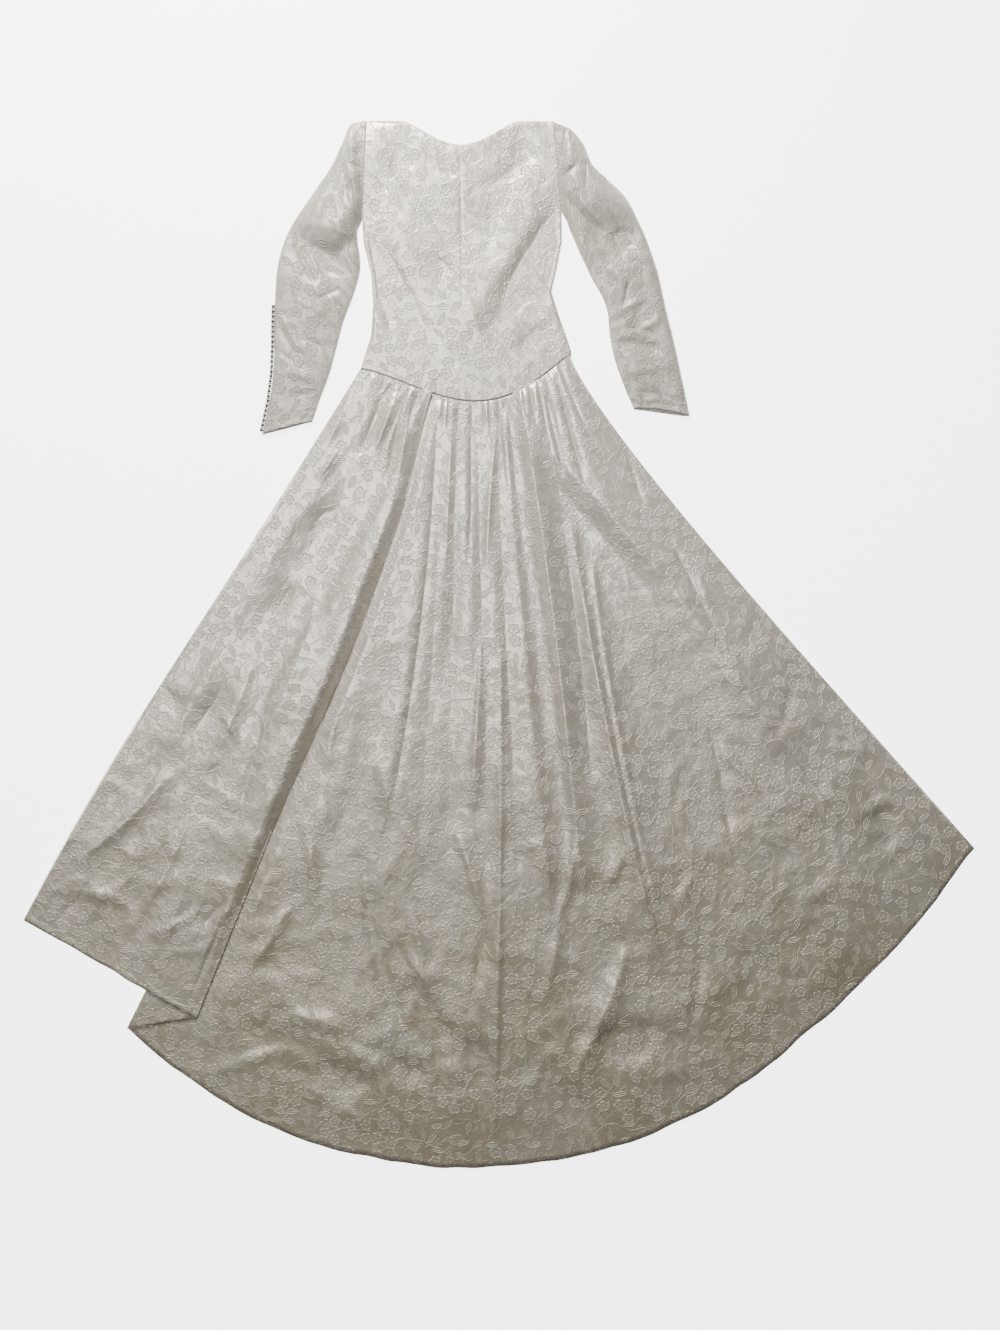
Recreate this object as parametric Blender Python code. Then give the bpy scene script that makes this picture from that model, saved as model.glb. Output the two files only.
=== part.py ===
"""Long-sleeved brocade wedding dress with a train, laid flat with its back uppermost.

Row frame: metres, +Z up, the dress lies in the XY plane with its neck towards +Y and its train towards -Y.
The origin is the middle of its outline, on the surface that it lies on.
"""

import math

import bmesh
import bpy
from mathutils import Vector

# Cloth and seams
CLOTH = 0.0015
SEAM_GAP = 0.0004
LAYER_GAP = 0.0003

# Waist seam, a U that dips below the straight line between its ends
WAIST_LEFT = Vector((-0.248, 0.499))
WAIST_RIGHT = Vector((0.130, 0.529))
WAIST_DIP = 0.075
WAIST_SKEW = 1.27
WAIST_LIFT = 0.003

# Neck edge and shoulders of the back, and the lower neck of the hidden front
SHOULDER_LEFT = Vector((-0.239, 0.941))
SHOULDER_RIGHT = Vector((0.099, 0.940))
NECK_LEFT = -0.178
NECK_RIGHT = 0.038
NECK_DIP = 0.043
FRONT_NECK_DIP = 0.085
SHOULDER_LIFT = 0.009

# Skirt hems: the train is an arc and then a straight run to the right corner
HEM_LEFT = Vector((-0.855, -0.495))
HEM_RIGHT = Vector((0.855, -0.365))
TRAIN_CENTRE = Vector((-0.052, -0.061))
TRAIN_RADIUS = 0.880
TRAIN_START = math.radians(-44.4)
TRAIN_END = math.radians(45.0)
FRONT_HEM_INSET = 0.006
FRONT_HEM_SAG = 0.200
SIDE_BOW = {"left": -0.0145, "right": -0.039}
SIDE_BOW_SKEW = {"left": 2.0, "right": 0.56}
TRAIN_CORNER_BOW = 0.014

# Large fold that laps the left of the skirt over the train
LAP_WAIST_SHARE = 0.336
LAP_WAIST_DEPTH = 0.006
LAP_OUTER_HEM = Vector((-0.545, -0.671))
LAP_ROLL = 0.009
LAP_BOW = 0.013
LAP_TURN = (45, 90, 135, 180)
LAP_RADIUS = {"outer": 0.0004, "inner": 0.0020}
LAP_SETTLE = (0.012, 0.070)

# Lengthwise strips of the flat front panels
FRONT_COLUMNS = 24

# Distance over which the skirt rises from its side seams
EDGE_REACH = 0.045

# Height of a gather, of the air under the bodice, and how far the upper cloth stays down past the front hem
GATHER_HEIGHT = 0.0042
BODICE_AIR = 0.003
PAST_FRONT_HEM = (0.115, 0.150)

# Sides of the bodice below the arm: share down the side, left x and y, right x and y
BODICE_SIDES = (
    {"down": 0.00, "left": (-0.239, 0.941), "right": (0.099, 0.940)},
    {"down": 0.40, "left": (-0.246, 0.765), "right": (0.112, 0.779)},
    {"down": 0.52, "left": (-0.243, 0.722), "right": (0.113, 0.727)},
    {"down": 0.64, "left": (-0.230, 0.670), "right": (0.104, 0.680)},
    {"down": 0.76, "left": (-0.226, 0.612), "right": (0.094, 0.636)},
    {"down": 0.88, "left": (-0.230, 0.556), "right": (0.110, 0.585)},
    {"down": 1.00, "left": (-0.248, 0.499), "right": (0.130, 0.529)},
)

# Skirt between the side seam and the large fold, then from the fold across the train.
# waist: share of the waist seam. hem: share of that hem, or metres along the train hem.
LEFT_STRETCHES = (
    {"waist": (0.000, 0.110), "hem": (0.000, 0.065), "columns": 6, "gathers": 2},
    {"waist": (0.110, 0.336), "hem": (0.065, 1.000), "columns": 21, "gathers": 7},
)
TRAIN_STRETCHES = (
    {"waist": (0.322, 0.380), "hem": (0.002, 0.440), "columns": 8, "gathers": 0},
    {"waist": (0.380, 0.476), "hem": (0.440, 0.655), "columns": 9, "gathers": 3},
    {"waist": (0.476, 0.709), "hem": (0.655, 0.915), "columns": 24, "gathers": 8},
    {"waist": (0.709, 0.857), "hem": (0.915, 1.110), "columns": 15, "gathers": 5},
    {"waist": (0.857, 1.000), "hem": (1.110, 1.800), "columns": 12, "gathers": 4},
)

# Rows of the skirt, as shares of the way from the waist seam to the hem
SKIRT_ROWS = (0.0, 0.0027, 0.010, 0.020, 0.036, 0.060, 0.095, 0.14, 0.19, 0.25)
SKIRT_ROWS += (0.32, 0.40, 0.48, 0.56, 0.64, 0.72, 0.80, 0.88, 0.95, 1.0)

# Long folds of the skirt: place at the waist, where it starts, peaks and ends as shares of the
# length, height, and reach to its left and right at the hem
SKIRT_FOLDS = (
    {"at": 0.110, "start": 0.01, "peak": 0.20, "end": 0.78, "high": 0.013, "left": 0.050, "right": 0.085},
    {"at": 0.205, "start": 0.00, "peak": 0.06, "end": 0.22, "high": 0.007, "left": 0.080, "right": 0.080},
    {"at": 0.250, "start": 0.30, "peak": 0.62, "end": 1.00, "high": 0.006, "left": 0.090, "right": 0.070},
    {"at": 0.392, "start": 0.04, "peak": 0.30, "end": 0.98, "high": 0.009, "left": 0.060, "right": 0.090},
    {"at": 0.440, "start": 0.00, "peak": 0.25, "end": 0.85, "high": 0.007, "left": 0.045, "right": 0.045},
    {"at": 0.505, "start": 0.00, "peak": 0.18, "end": 0.75, "high": 0.010, "left": 0.050, "right": 0.040},
    {"at": 0.585, "start": 0.00, "peak": 0.22, "end": 0.90, "high": 0.009, "left": 0.040, "right": 0.045},
    {"at": 0.665, "start": 0.02, "peak": 0.35, "end": 0.95, "high": 0.012, "left": 0.065, "right": 0.022},
    {"at": 0.760, "start": 0.00, "peak": 0.12, "end": 0.55, "high": 0.008, "left": 0.050, "right": 0.060},
    {"at": 0.857, "start": 0.04, "peak": 0.55, "end": 1.00, "high": 0.010, "left": 0.040, "right": 0.055},
    {"at": 0.905, "start": 0.00, "peak": 0.15, "end": 0.50, "high": 0.010, "left": 0.090, "right": 0.070},
    {"at": 0.940, "start": 0.20, "peak": 0.55, "end": 1.00, "high": 0.006, "left": 0.070, "right": 0.090},
)

# Soft diagonal folds of the bodice back: ends, height, and reach
BODICE_FOLDS = (
    {"from": (-0.215, 0.790), "to": (-0.090, 0.640), "high": 0.005, "reach": 0.026},
    {"from": (0.085, 0.800), "to": (0.000, 0.610), "high": 0.006, "reach": 0.028},
    {"from": (0.105, 0.640), "to": (0.020, 0.500), "high": 0.005, "reach": 0.024},
    {"from": (-0.210, 0.640), "to": (-0.130, 0.510), "high": 0.004, "reach": 0.024},
)

# Sleeves: outer and inner edge of each section from armhole to wrist, with the height inside
LEFT_SLEEVE = (
    {"outer": (-0.239, 0.941), "inner": (-0.246, 0.765), "high": 0.0110},
    {"outer": (-0.265, 0.938), "inner": (-0.255, 0.742), "high": 0.0150},
    {"outer": (-0.283, 0.900), "inner": (-0.254, 0.717), "high": 0.0150},
    {"outer": (-0.304, 0.857), "inner": (-0.250, 0.694), "high": 0.0130},
    {"outer": (-0.338, 0.808), "inner": (-0.249, 0.673), "high": 0.0150},
    {"outer": (-0.369, 0.761), "inner": (-0.253, 0.653), "high": 0.0140},
    {"outer": (-0.389, 0.718), "inner": (-0.259, 0.632), "high": 0.0090},
    {"outer": (-0.400, 0.671), "inner": (-0.268, 0.608), "high": 0.0120},
    {"outer": (-0.403, 0.621), "inner": (-0.279, 0.578), "high": 0.0100},
    {"outer": (-0.4045, 0.567), "inner": (-0.290, 0.536), "high": 0.0080},
    {"outer": (-0.4045, 0.509), "inner": (-0.302, 0.491), "high": 0.0090},
    {"outer": (-0.4105, 0.450), "inner": (-0.319, 0.445), "high": 0.0060},
    {"outer": (-0.426, 0.378), "inner": (-0.334, 0.402), "high": 0.0050},
)
RIGHT_SLEEVE = (
    {"outer": (0.099, 0.940), "inner": (0.112, 0.779), "high": 0.0110},
    {"outer": (0.126, 0.932), "inner": (0.121, 0.763), "high": 0.0170},
    {"outer": (0.151, 0.904), "inner": (0.128, 0.743), "high": 0.0150},
    {"outer": (0.167, 0.868), "inner": (0.137, 0.722), "high": 0.0150},
    {"outer": (0.193, 0.842), "inner": (0.146, 0.700), "high": 0.0150},
    {"outer": (0.229, 0.806), "inner": (0.157, 0.677), "high": 0.0160},
    {"outer": (0.250, 0.765), "inner": (0.169, 0.652), "high": 0.0110},
    {"outer": (0.268, 0.724), "inner": (0.184, 0.626), "high": 0.0130},
    {"outer": (0.286, 0.671), "inner": (0.194, 0.596), "high": 0.0110},
    {"outer": (0.302, 0.601), "inner": (0.198, 0.553), "high": 0.0090},
    {"outer": (0.319, 0.531), "inner": (0.207, 0.511), "high": 0.0100},
    {"outer": (0.333, 0.464), "inner": (0.223, 0.466), "high": 0.0065},
    {"outer": (0.344, 0.410), "inner": (0.241, 0.424), "high": 0.0052},
)
# Large folds across the upper cloth of each sleeve: ends, height, and reach
SLEEVE_FOLDS = {
    "left": (
        {"from": (-0.268, 0.760), "to": (-0.345, 0.690), "high": 0.008, "reach": 0.022},
        {"from": (-0.390, 0.560), "to": (-0.320, 0.540), "high": 0.004, "reach": 0.018},
    ),
    "right": (
        {"from": (0.165, 0.800), "to": (0.245, 0.742), "high": 0.008, "reach": 0.020},
        {"from": (0.230, 0.530), "to": (0.310, 0.560), "high": 0.004, "reach": 0.018},
    ),
}
SLEEVE_ROWS = 16
SLEEVE_TOP = (0.0, 0.08, 0.18, 0.28, 0.38, 0.49, 0.60, 0.71, 0.82, 0.92, 1.0)
SLEEVE_EDGE_GAP = 0.0012
SLEEVE_INSET = 0.0028
SLEEVE_RIPPLE = 0.0018
SLEEVE_SEAM = (0.0004, 0.0034)
PROP_HEIGHT = 0.0053
PROP_REACH = (0.008, 0.016)

# Covered buttons down the outer seam of each sleeve
BUTTONS = 26
BUTTON_PITCH = 0.0090
BUTTON_RADIUS = 0.0033
BUTTON_HEIGHT = 0.0046
BUTTON_FIRST = 0.007
BUTTON_SIDES = 8
BUTTON_BESIDE_EDGE = 0.0057
BUTTON_UNDER_EDGE = -0.0022

BROCADE = (0.80, 0.775, 0.72)
SATIN = (0.82, 0.79, 0.74)


def mix(low, high, share):
    """The number or point that lies at share of the way from low to high."""
    return low * (1 - share) + high * share


def ease(low, high, value):
    """0 below low, 1 above high, and a smooth step between them."""
    share = min(max((value - low) / (high - low), 0.0), 1.0)
    return share * share * (3 - 2 * share)


def material(name, colour, roughness):
    """A Principled material with one colour and roughness."""
    made = bpy.data.materials.new(name)
    made.use_nodes = True
    shader = made.node_tree.nodes["Principled BSDF"]
    shader.inputs["Base Color"].default_value = (*colour, 1.0)
    shader.inputs["Roughness"].default_value = roughness
    shader.inputs["Metallic"].default_value = 0.0
    made.diffuse_color = (*colour, 1.0)
    return made


def cloth_wall(name, columns, rows, place, finish, closed=False):
    """A sheet of cloth with an even wall: place(across, up) gives its under surface for shares 0 to 1."""
    shape = bmesh.new()
    bmesh.ops.create_grid(shape, x_segments=columns, y_segments=rows, size=0.5)
    for vertex in shape.verts:
        vertex.co = place(vertex.co.x + 0.5, vertex.co.y + 0.5)
    if closed:
        bmesh.ops.remove_doubles(shape, verts=shape.verts, dist=1e-6)
    for face in shape.faces:
        face.smooth = True
    for edge in shape.edges:
        edge.smooth = not edge.is_boundary
    mesh = bpy.data.meshes.new(name)
    shape.to_mesh(mesh)
    shape.free()
    wall = bpy.data.objects.new(name, mesh)
    bpy.context.scene.collection.objects.link(wall)
    thickness = wall.modifiers.new("cloth", "SOLIDIFY")
    thickness.thickness = CLOTH
    thickness.offset = 1.0
    wall.data.materials.append(finish)
    return wall


def waist_point(share):
    """Plan of the waist seam, from the left side seam to the right one."""
    chord = mix(WAIST_LEFT, WAIST_RIGHT, share)
    dip = WAIST_DIP * math.sin(math.pi * share**WAIST_SKEW)
    return Vector((chord.x, chord.y - dip))


def waist_height(share):
    """Height of the upper cloth's under surface along the waist seam."""
    return CLOTH + LAYER_GAP + WAIST_LIFT * math.sin(math.pi * share)


def front_hem_y(x):
    """Y of the hidden front hem below a given x."""
    left = HEM_LEFT + Vector((FRONT_HEM_INSET, FRONT_HEM_INSET))
    right = HEM_RIGHT + Vector((-FRONT_HEM_INSET, FRONT_HEM_INSET))
    share = (x - left.x) / (right.x - left.x)
    return mix(left.y, right.y, share) - FRONT_HEM_SAG * 4 * share * (1 - share)


def train_hem(metres):
    """Plan of the train hem at a distance along it from the large fold."""
    angle = TRAIN_START + metres / TRAIN_RADIUS
    if angle <= TRAIN_END:
        return TRAIN_CENTRE + TRAIN_RADIUS * Vector((math.sin(angle), -math.cos(angle)))
    arc_end = TRAIN_CENTRE + TRAIN_RADIUS * Vector((math.sin(TRAIN_END), -math.cos(TRAIN_END)))
    arc_length = (TRAIN_END - TRAIN_START) * TRAIN_RADIUS
    whole = TRAIN_STRETCHES[-1]["hem"][1]
    share = (metres - arc_length) / (whole - arc_length)
    along = (HEM_RIGHT - arc_end).normalized()
    outwards = Vector((along.y, -along.x)) * TRAIN_CORNER_BOW
    return mix(arc_end, HEM_RIGHT, share) + outwards * math.sin(math.pi * share**0.8)


def side_bow(down, left_weight, right_weight):
    """Sideways shift of a skirt ray, whose sides bulge on the left and draw in on the right."""
    left = SIDE_BOW["left"] * math.sin(math.pi * down ** SIDE_BOW_SKEW["left"])
    right = SIDE_BOW["right"] * math.sin(math.pi * down ** SIDE_BOW_SKEW["right"])
    return Vector((left * left_weight + right * right_weight, 0.0))


def lap_bow(down):
    """Sideways shift of the large fold, which bows to the right half-way down."""
    return Vector((LAP_BOW * math.sin(math.pi * down**0.8), 0.0))


def gather_share(index, number):
    """Uneven height of one gather, always the same for the same gather."""
    return 0.72 + 0.28 * math.sin(2.4 * index + 1.7 * number)


def along_waist(metres):
    """Share of the waist seam for a distance along it."""
    return metres / (WAIST_RIGHT - WAIST_LEFT).length


def stretch_columns(table, hem_of, layer):
    """Columns of one layer of the skirt, spread over the stretches of its table."""
    columns = []
    for number, row in enumerate(table):
        for step in range(min(number, 1), row["columns"] + 1):
            share = step / row["columns"]
            column = {"waist": mix(*row["waist"], share), "hem": hem_of(mix(*row["hem"], share))}
            columns.append({**column, "layer": layer, "gather": row["gathers"] * share, "number": number})
    return columns


def lap_right():
    """Unit vector that points to the right of the large fold."""
    along = (LAP_OUTER_HEM - waist_point(LAP_WAIST_SHARE)).normalized()
    return Vector((-along.y, along.x))


def lap_columns():
    """Columns of the large fold: its outer turn, the turned layer, and its inner turn."""
    right, inner_hem = lap_right(), train_hem(0.0)
    columns = []

    def column(back, turn, angle):
        radius = 0.0 if turn == "flat" else LAP_RADIUS[turn] * math.sin(math.radians(angle))
        sign = 1 if turn == "outer" else -1
        waist = LAP_WAIST_SHARE + along_waist(sign * radius - back * LAP_WAIST_DEPTH)
        hem = mix(LAP_OUTER_HEM, inner_hem, back) + right * sign * radius
        columns.append({"waist": waist, "hem": hem, "layer": turn, "angle": math.radians(angle)})

    for angle in LAP_TURN:
        column(0.0, "outer", angle)
    column(1 / 3, "flat", 0)
    column(2 / 3, "flat", 0)
    for angle in (0, *LAP_TURN[:-1]):
        column(1.0, "inner", angle)
    return columns


def skirt_columns():
    """Every lengthwise column of the back skirt, from the left side seam to the right one."""
    left = stretch_columns(LEFT_STRETCHES, lambda share: mix(HEM_LEFT, LAP_OUTER_HEM, share), "top")
    return left + lap_columns() + stretch_columns(TRAIN_STRETCHES, train_hem, "train")


def layer_height(layer, angle, down):
    """Height of a layer of the large fold above the train layer."""
    turned = 2 * LAP_RADIUS["inner"]
    roll = LAP_ROLL * math.sin(math.pi * down**0.55) * ease(0.003, 0.040, down)
    thick = 2 * LAP_RADIUS["outer"] + roll
    heights = {"train": 0.0, "flat": turned, "top": turned + thick}
    heights["outer"] = turned + thick * (1 + math.cos(angle)) / 2
    heights["inner"] = turned * (1 + math.cos(angle)) / 2
    return heights[layer]


def under_height(place):
    """Height of what lies below the upper cloth: the front where it reaches, or the floor."""
    past = front_hem_y(place.x) - place.y
    return (CLOTH + LAYER_GAP) * (1 - ease(*PAST_FRONT_HEM, past))


def hem_of_share(share):
    """Hem point of the ray that leaves the waist seam at a share of it."""
    if share < LAP_WAIST_SHARE:
        rows, hem_of = LEFT_STRETCHES, lambda part: mix(HEM_LEFT, LAP_OUTER_HEM, part)
    else:
        rows, hem_of = TRAIN_STRETCHES, train_hem
    row = next(row for row in rows if share <= row["waist"][1])
    part = (share - row["waist"][0]) / (row["waist"][1] - row["waist"][0])
    return hem_of(mix(*row["hem"], part))


def fold_height(column, down):
    """Height that the long folds add at a point of the skirt."""
    tallest = 0.0
    here = mix(waist_point(column["waist"]), column["hem"], down)
    for fold in SKIRT_FOLDS:
        same_side = (fold["at"] < LAP_WAIST_SHARE) == (column["layer"] == "top")
        if not same_side or not fold["start"] < down < fold["end"]:
            continue
        ridge_waist, ridge_hem = waist_point(fold["at"]), hem_of_share(fold["at"])
        along = (ridge_hem - ridge_waist).normalized()
        distance = (here - mix(ridge_waist, ridge_hem, down)).dot(Vector((-along.y, along.x)))
        reach = (fold["left"] if distance < 0 else fold["right"]) * (0.30 + 0.70 * down)
        run = ease(fold["start"], fold["peak"], down) * (1 - ease(fold["peak"], fold["end"], down))
        tallest = max(tallest, fold["high"] * run * math.exp(-((distance / reach) ** 2)))
    return tallest


def gather_height(column, down):
    """Height that the gathers add below the waist seam."""
    tall = gather_share(int(column["gather"] + 0.5), column["number"])
    fade = ease(0.0027, 0.018, down) * (1 - ease(0.030, 0.20, down))
    return GATHER_HEIGHT * tall * (0.5 - 0.5 * math.cos(2 * math.pi * column["gather"])) * fade


def edge_share(share, down):
    """0 at the side seams of the skirt and 1 away from them."""
    left = share * mix(0.378, 3.0, down)
    right = (1 - share) * mix(0.378, 3.6, down)
    return ease(0.0, EDGE_REACH, min(left, right))


def skirt_back_point(column, down):
    """Under surface of the back skirt for one column at a share of the way to the hem."""
    share, layer = column["waist"], column["layer"]
    left = (1 - share / LAP_WAIST_SHARE) ** 2 if layer == "top" else 0.0
    right = max((share - 0.857) / 0.143, 0.0) ** 1.5 if layer == "train" else 0.0
    plan = mix(waist_point(share), column["hem"], down) + side_bow(down, left, right)
    lap_weights = {"top": (share / LAP_WAIST_SHARE) ** 3, "train": 1 - ease(0.322, 0.440, share)}
    plan += lap_bow(down) * lap_weights.get(layer, 1.0)
    base = mix(waist_height(share), under_height(plan), ease(0.0027, 0.015, down))
    height = layer_height(layer, column.get("angle", 0.0), down)
    lap = mix(waist_point(LAP_WAIST_SHARE), LAP_OUTER_HEM, down) + lap_bow(down)
    from_lap = (plan - lap).dot(lap_right())
    if layer == "top":
        depth = mix(LAP_WAIST_DEPTH, (LAP_OUTER_HEM - train_hem(0.0)).length, down) + 0.003
        height *= 1 - ease(depth, depth + mix(*LAP_SETTLE, down), -from_lap)
        clear = ease(0.0, 0.025, -from_lap)
    else:
        clear = ease(0.004, 0.030, from_lap)
    if layer in ("top", "train"):
        raised = (fold_height(column, down) + gather_height(column, down)) * edge_share(share, down)
        height += raised * clear
    return Vector((plan.x, plan.y - SEAM_GAP * (1 - down), base + height))


def build_skirt_back(finish):
    """The gathered back skirt with its train and the large fold."""
    columns = skirt_columns()
    last_column, last_row = len(columns) - 1, len(SKIRT_ROWS) - 1

    def place(across, up):
        down = SKIRT_ROWS[round((1 - up) * last_row)]
        return skirt_back_point(columns[round(across * last_column)], down)

    return cloth_wall("skirt_back", last_column, last_row, place, finish)


def build_skirt_front(finish):
    """The hidden front skirt, which lies flat on the floor and ends at a floor-length hem."""
    left = HEM_LEFT + Vector((FRONT_HEM_INSET, FRONT_HEM_INSET))
    right = HEM_RIGHT + Vector((-FRONT_HEM_INSET, FRONT_HEM_INSET))

    def place(across, up):
        down = 1 - up
        hem_x = mix(left.x, right.x, across)
        hem = Vector((hem_x, front_hem_y(hem_x)))
        plan = mix(waist_point(across), hem, down)
        plan += side_bow(down, (1 - across) ** 4, across**4)
        plan.y -= SEAM_GAP * (1 - down)
        return Vector((plan.x, plan.y, 0.0))

    return cloth_wall("skirt_front", FRONT_COLUMNS, 10, place, finish)


def side_point(down, side):
    """Plan of a side of the bodice, a straight armhole and then the side seam."""
    for above, below in zip(BODICE_SIDES, BODICE_SIDES[1:]):
        if down <= below["down"]:
            share = (down - above["down"]) / (below["down"] - above["down"])
            return mix(Vector(above[side]), Vector(below[side]), share)
    return Vector(BODICE_SIDES[-1][side])


def neck_point(across, dip):
    """Plan of the top edge: shoulder, neckline, shoulder."""
    chord = mix(SHOULDER_LEFT, SHOULDER_RIGHT, across)
    share = min(max((chord.x - NECK_LEFT) / (NECK_RIGHT - NECK_LEFT), 0.0), 1.0)
    return Vector((chord.x, chord.y - dip * math.sin(math.pi * share) ** 1.5))


def bodice_plan(across, down, neck_dip):
    """Plan of a bodice panel, spread between its neck, sides and waist seam."""
    top, base = neck_point(across, neck_dip), waist_point(across)
    left, right = side_point(down, "left"), side_point(down, "right")
    edges = mix(top, base, down) + mix(left, right, across)
    corners = mix(
        mix(SHOULDER_LEFT, SHOULDER_RIGHT, across), mix(WAIST_LEFT, WAIST_RIGHT, across), down
    )
    return edges - corners


def armhole_height(share):
    """Height of the upper cloth's under surface down the armhole, over the padded shoulder."""
    return CLOTH + LAYER_GAP + SHOULDER_LIFT * math.sin(math.pi * min(max(share, 0), 1) ** 0.7)


def segment_fold(fold, plan):
    """Height of one soft ridge of the bodice at a point."""
    start, end = Vector(fold["from"]), Vector(fold["to"])
    run = end - start
    share = min(max((plan - start).dot(run) / run.length_squared, 0.0), 1.0)
    distance = (plan - (start + run * share)).length
    return fold["high"] * math.exp(-((distance / fold["reach"]) ** 2)) * math.sin(math.pi * mix(0.15, 0.85, share))


def bodice_back_height(across, down, plan):
    """Height of the under surface of the bodice back."""
    side = min(across, 1 - across)
    lowest = CLOTH + LAYER_GAP
    arm = armhole_height(down / 0.40) if down < 0.40 else lowest
    seam = waist_height(across)
    neck = ease(0.0, 0.10, down)
    body = lowest + BODICE_AIR * neck * (1 - 0.45 * down)
    body += SHOULDER_LIFT * 0.7 * (1 - ease(0.10, 0.45, down)) * neck
    body += sum(segment_fold(fold, plan) for fold in BODICE_FOLDS)
    height = mix(arm, body, ease(0.04, 0.24, side))
    return mix(height, seam, ease(0.80, 0.988, down))


def build_bodice(finish_back, finish_front):
    """Back and front of the bodice, which meet at the shoulders and side seams."""
    rows = (0, 0.02, 0.07, 0.13, 0.20, 0.27, 0.34, 0.40, 0.46, 0.52, 0.58, 0.64, 0.70, 0.76, 0.82, 0.88, 0.94, 0.988, 1)
    columns = (0, 0.012, 0.05, 0.09, 0.13, 0.18, 0.24, 0.30, 0.36, 0.42, 0.48)
    columns = columns + tuple(1 - share for share in reversed(columns))
    last_row, last_column = len(rows) - 1, len(columns) - 1

    def place_back(across, up):
        share, down = columns[round(across * last_column)], rows[round((1 - up) * last_row)]
        plan = bodice_plan(share, down, NECK_DIP)
        return Vector((plan.x, plan.y, bodice_back_height(share, down, plan)))

    front_rows = (0, 0.2) + tuple(row["down"] for row in BODICE_SIDES[1:])

    def place_front(across, up):
        down = front_rows[round((1 - up) * (len(front_rows) - 1))]
        plan = bodice_plan(across, down, FRONT_NECK_DIP)
        return Vector((plan.x, plan.y, 0.0))

    cloth_wall("bodice_back", last_column, last_row, place_back, finish_back)
    cloth_wall("bodice_front", FRONT_COLUMNS, len(front_rows) - 1, place_front, finish_front)


def sleeve_section(table, position):
    """Outer edge, inner edge and height of a sleeve at a position in its table, in from its outline."""
    index = min(int(position), len(table) - 2)
    above, below, part = table[index], table[index + 1], position - index
    outer = mix(Vector(above["outer"]), Vector(below["outer"]), part)
    inner = mix(Vector(above["inner"]), Vector(below["inner"]), part)
    inwards = (inner - outer).normalized() * SLEEVE_INSET
    return outer + inwards, inner - inwards, mix(above["high"], below["high"], part)


def ring_position(table, row):
    """Position in a sleeve's table of one of its rings, of which the first two lie at the armhole."""
    return 0.0 if row < 2 else 1 + (len(table) - 2) * (row - 2) / (SLEEVE_ROWS - 3)


def sleeve_profile(width, high, prop, ripple):
    """One ring of a sleeve, inside its cloth: distance in from the outer edge, and height."""
    low, shut = CLOTH, SLEEVE_EDGE_GAP
    ring = [(width + shut / 2, low + shut / 2), (width, low), (0.62 * width, low), (0.34 * width, low)]
    ring += [(PROP_REACH[1], low), (PROP_REACH[0], low + prop), (0.0, low + prop)]
    ring.append((-shut / 2, low + prop + shut / 2))
    for share in SLEEVE_TOP:
        crown = math.sin(math.pi * share**0.85) ** 0.8 if 0 < share < 1 else 0.0
        edge = low + shut + prop * (1 - ease(0.0, 0.45, share))
        ring.append((share * width, edge + crown * (high - low - shut + ripple * math.sin(9 * share))))
    return ring


def build_sleeve(side, table, propped, finish):
    """One sleeve, a flattened tube from armhole to wrist, whose outer edge may rest on its buttons."""
    last_row = SLEEVE_ROWS - 1
    armhole = Vector(table[0]["inner"]) - Vector(table[0]["outer"])
    mirrored = table[1]["outer"][0] > table[0]["outer"][0]
    away = Vector((-armhole.y, armhole.x)).normalized() * (1 if mirrored else -1)
    row_length = (BUTTONS + 1) * BUTTON_PITCH

    def ring(row):
        position = ring_position(table, row)
        outer, inner, high = sleeve_section(table, position)
        width = (inner - outer).length
        to_wrist = (Vector(table[-1]["outer"]) - outer).length
        prop = PROP_HEIGHT * (1 - ease(row_length + 0.045, row_length + 0.12, to_wrist)) if propped else 0.0
        ripple = SLEEVE_RIPPLE * math.sin(2.3 * position)
        shift = away * SLEEVE_SEAM[row] if row < 2 else Vector((0.0, 0.0))
        points = []
        for index, (distance, height) in enumerate(sleeve_profile(width, high, prop, ripple)):
            if row < 2 and index > 7:
                height = max(armhole_height(distance / width), height if index in (8, 18) else 0.0)
            plan = mix(outer, inner, distance / width) + shift
            if row >= 2 and index > 8:
                fade = math.sin(math.pi * min(max(distance / width, 0.0), 1.0))
                height += fade * sum(segment_fold(fold, plan) for fold in SLEEVE_FOLDS[side])
            points.append(Vector((plan.x, plan.y, height)))
        return points

    rings = [ring(row) for row in range(SLEEVE_ROWS)]
    sides = len(rings[0])

    def place(around, up):
        step = round(around * sides) % sides
        return rings[last_row - round(up * last_row)][(sides - step) % sides if mirrored else step]

    return cloth_wall(f"sleeve_{side}", sides, last_row, place, finish, closed=True)


def outer_edge(table, from_wrist):
    """Point on the outer seam at a distance up from the wrist, with the unit vector that points outwards."""
    remaining = from_wrist
    rings = [sleeve_section(table, ring_position(table, row)) for row in reversed(range(2, SLEEVE_ROWS))]
    for (low, low_inner, _), (high, _, _) in zip(rings, rings[1:]):
        run = high - low
        if remaining <= run.length:
            along = run.normalized()
            outward = Vector((-along.y, along.x))
            if outward.dot(low - low_inner) < 0:
                outward = -outward
            return low + along * remaining, outward
        remaining -= run.length
    raise ValueError("the button row is longer than the sleeve seam")


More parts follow.
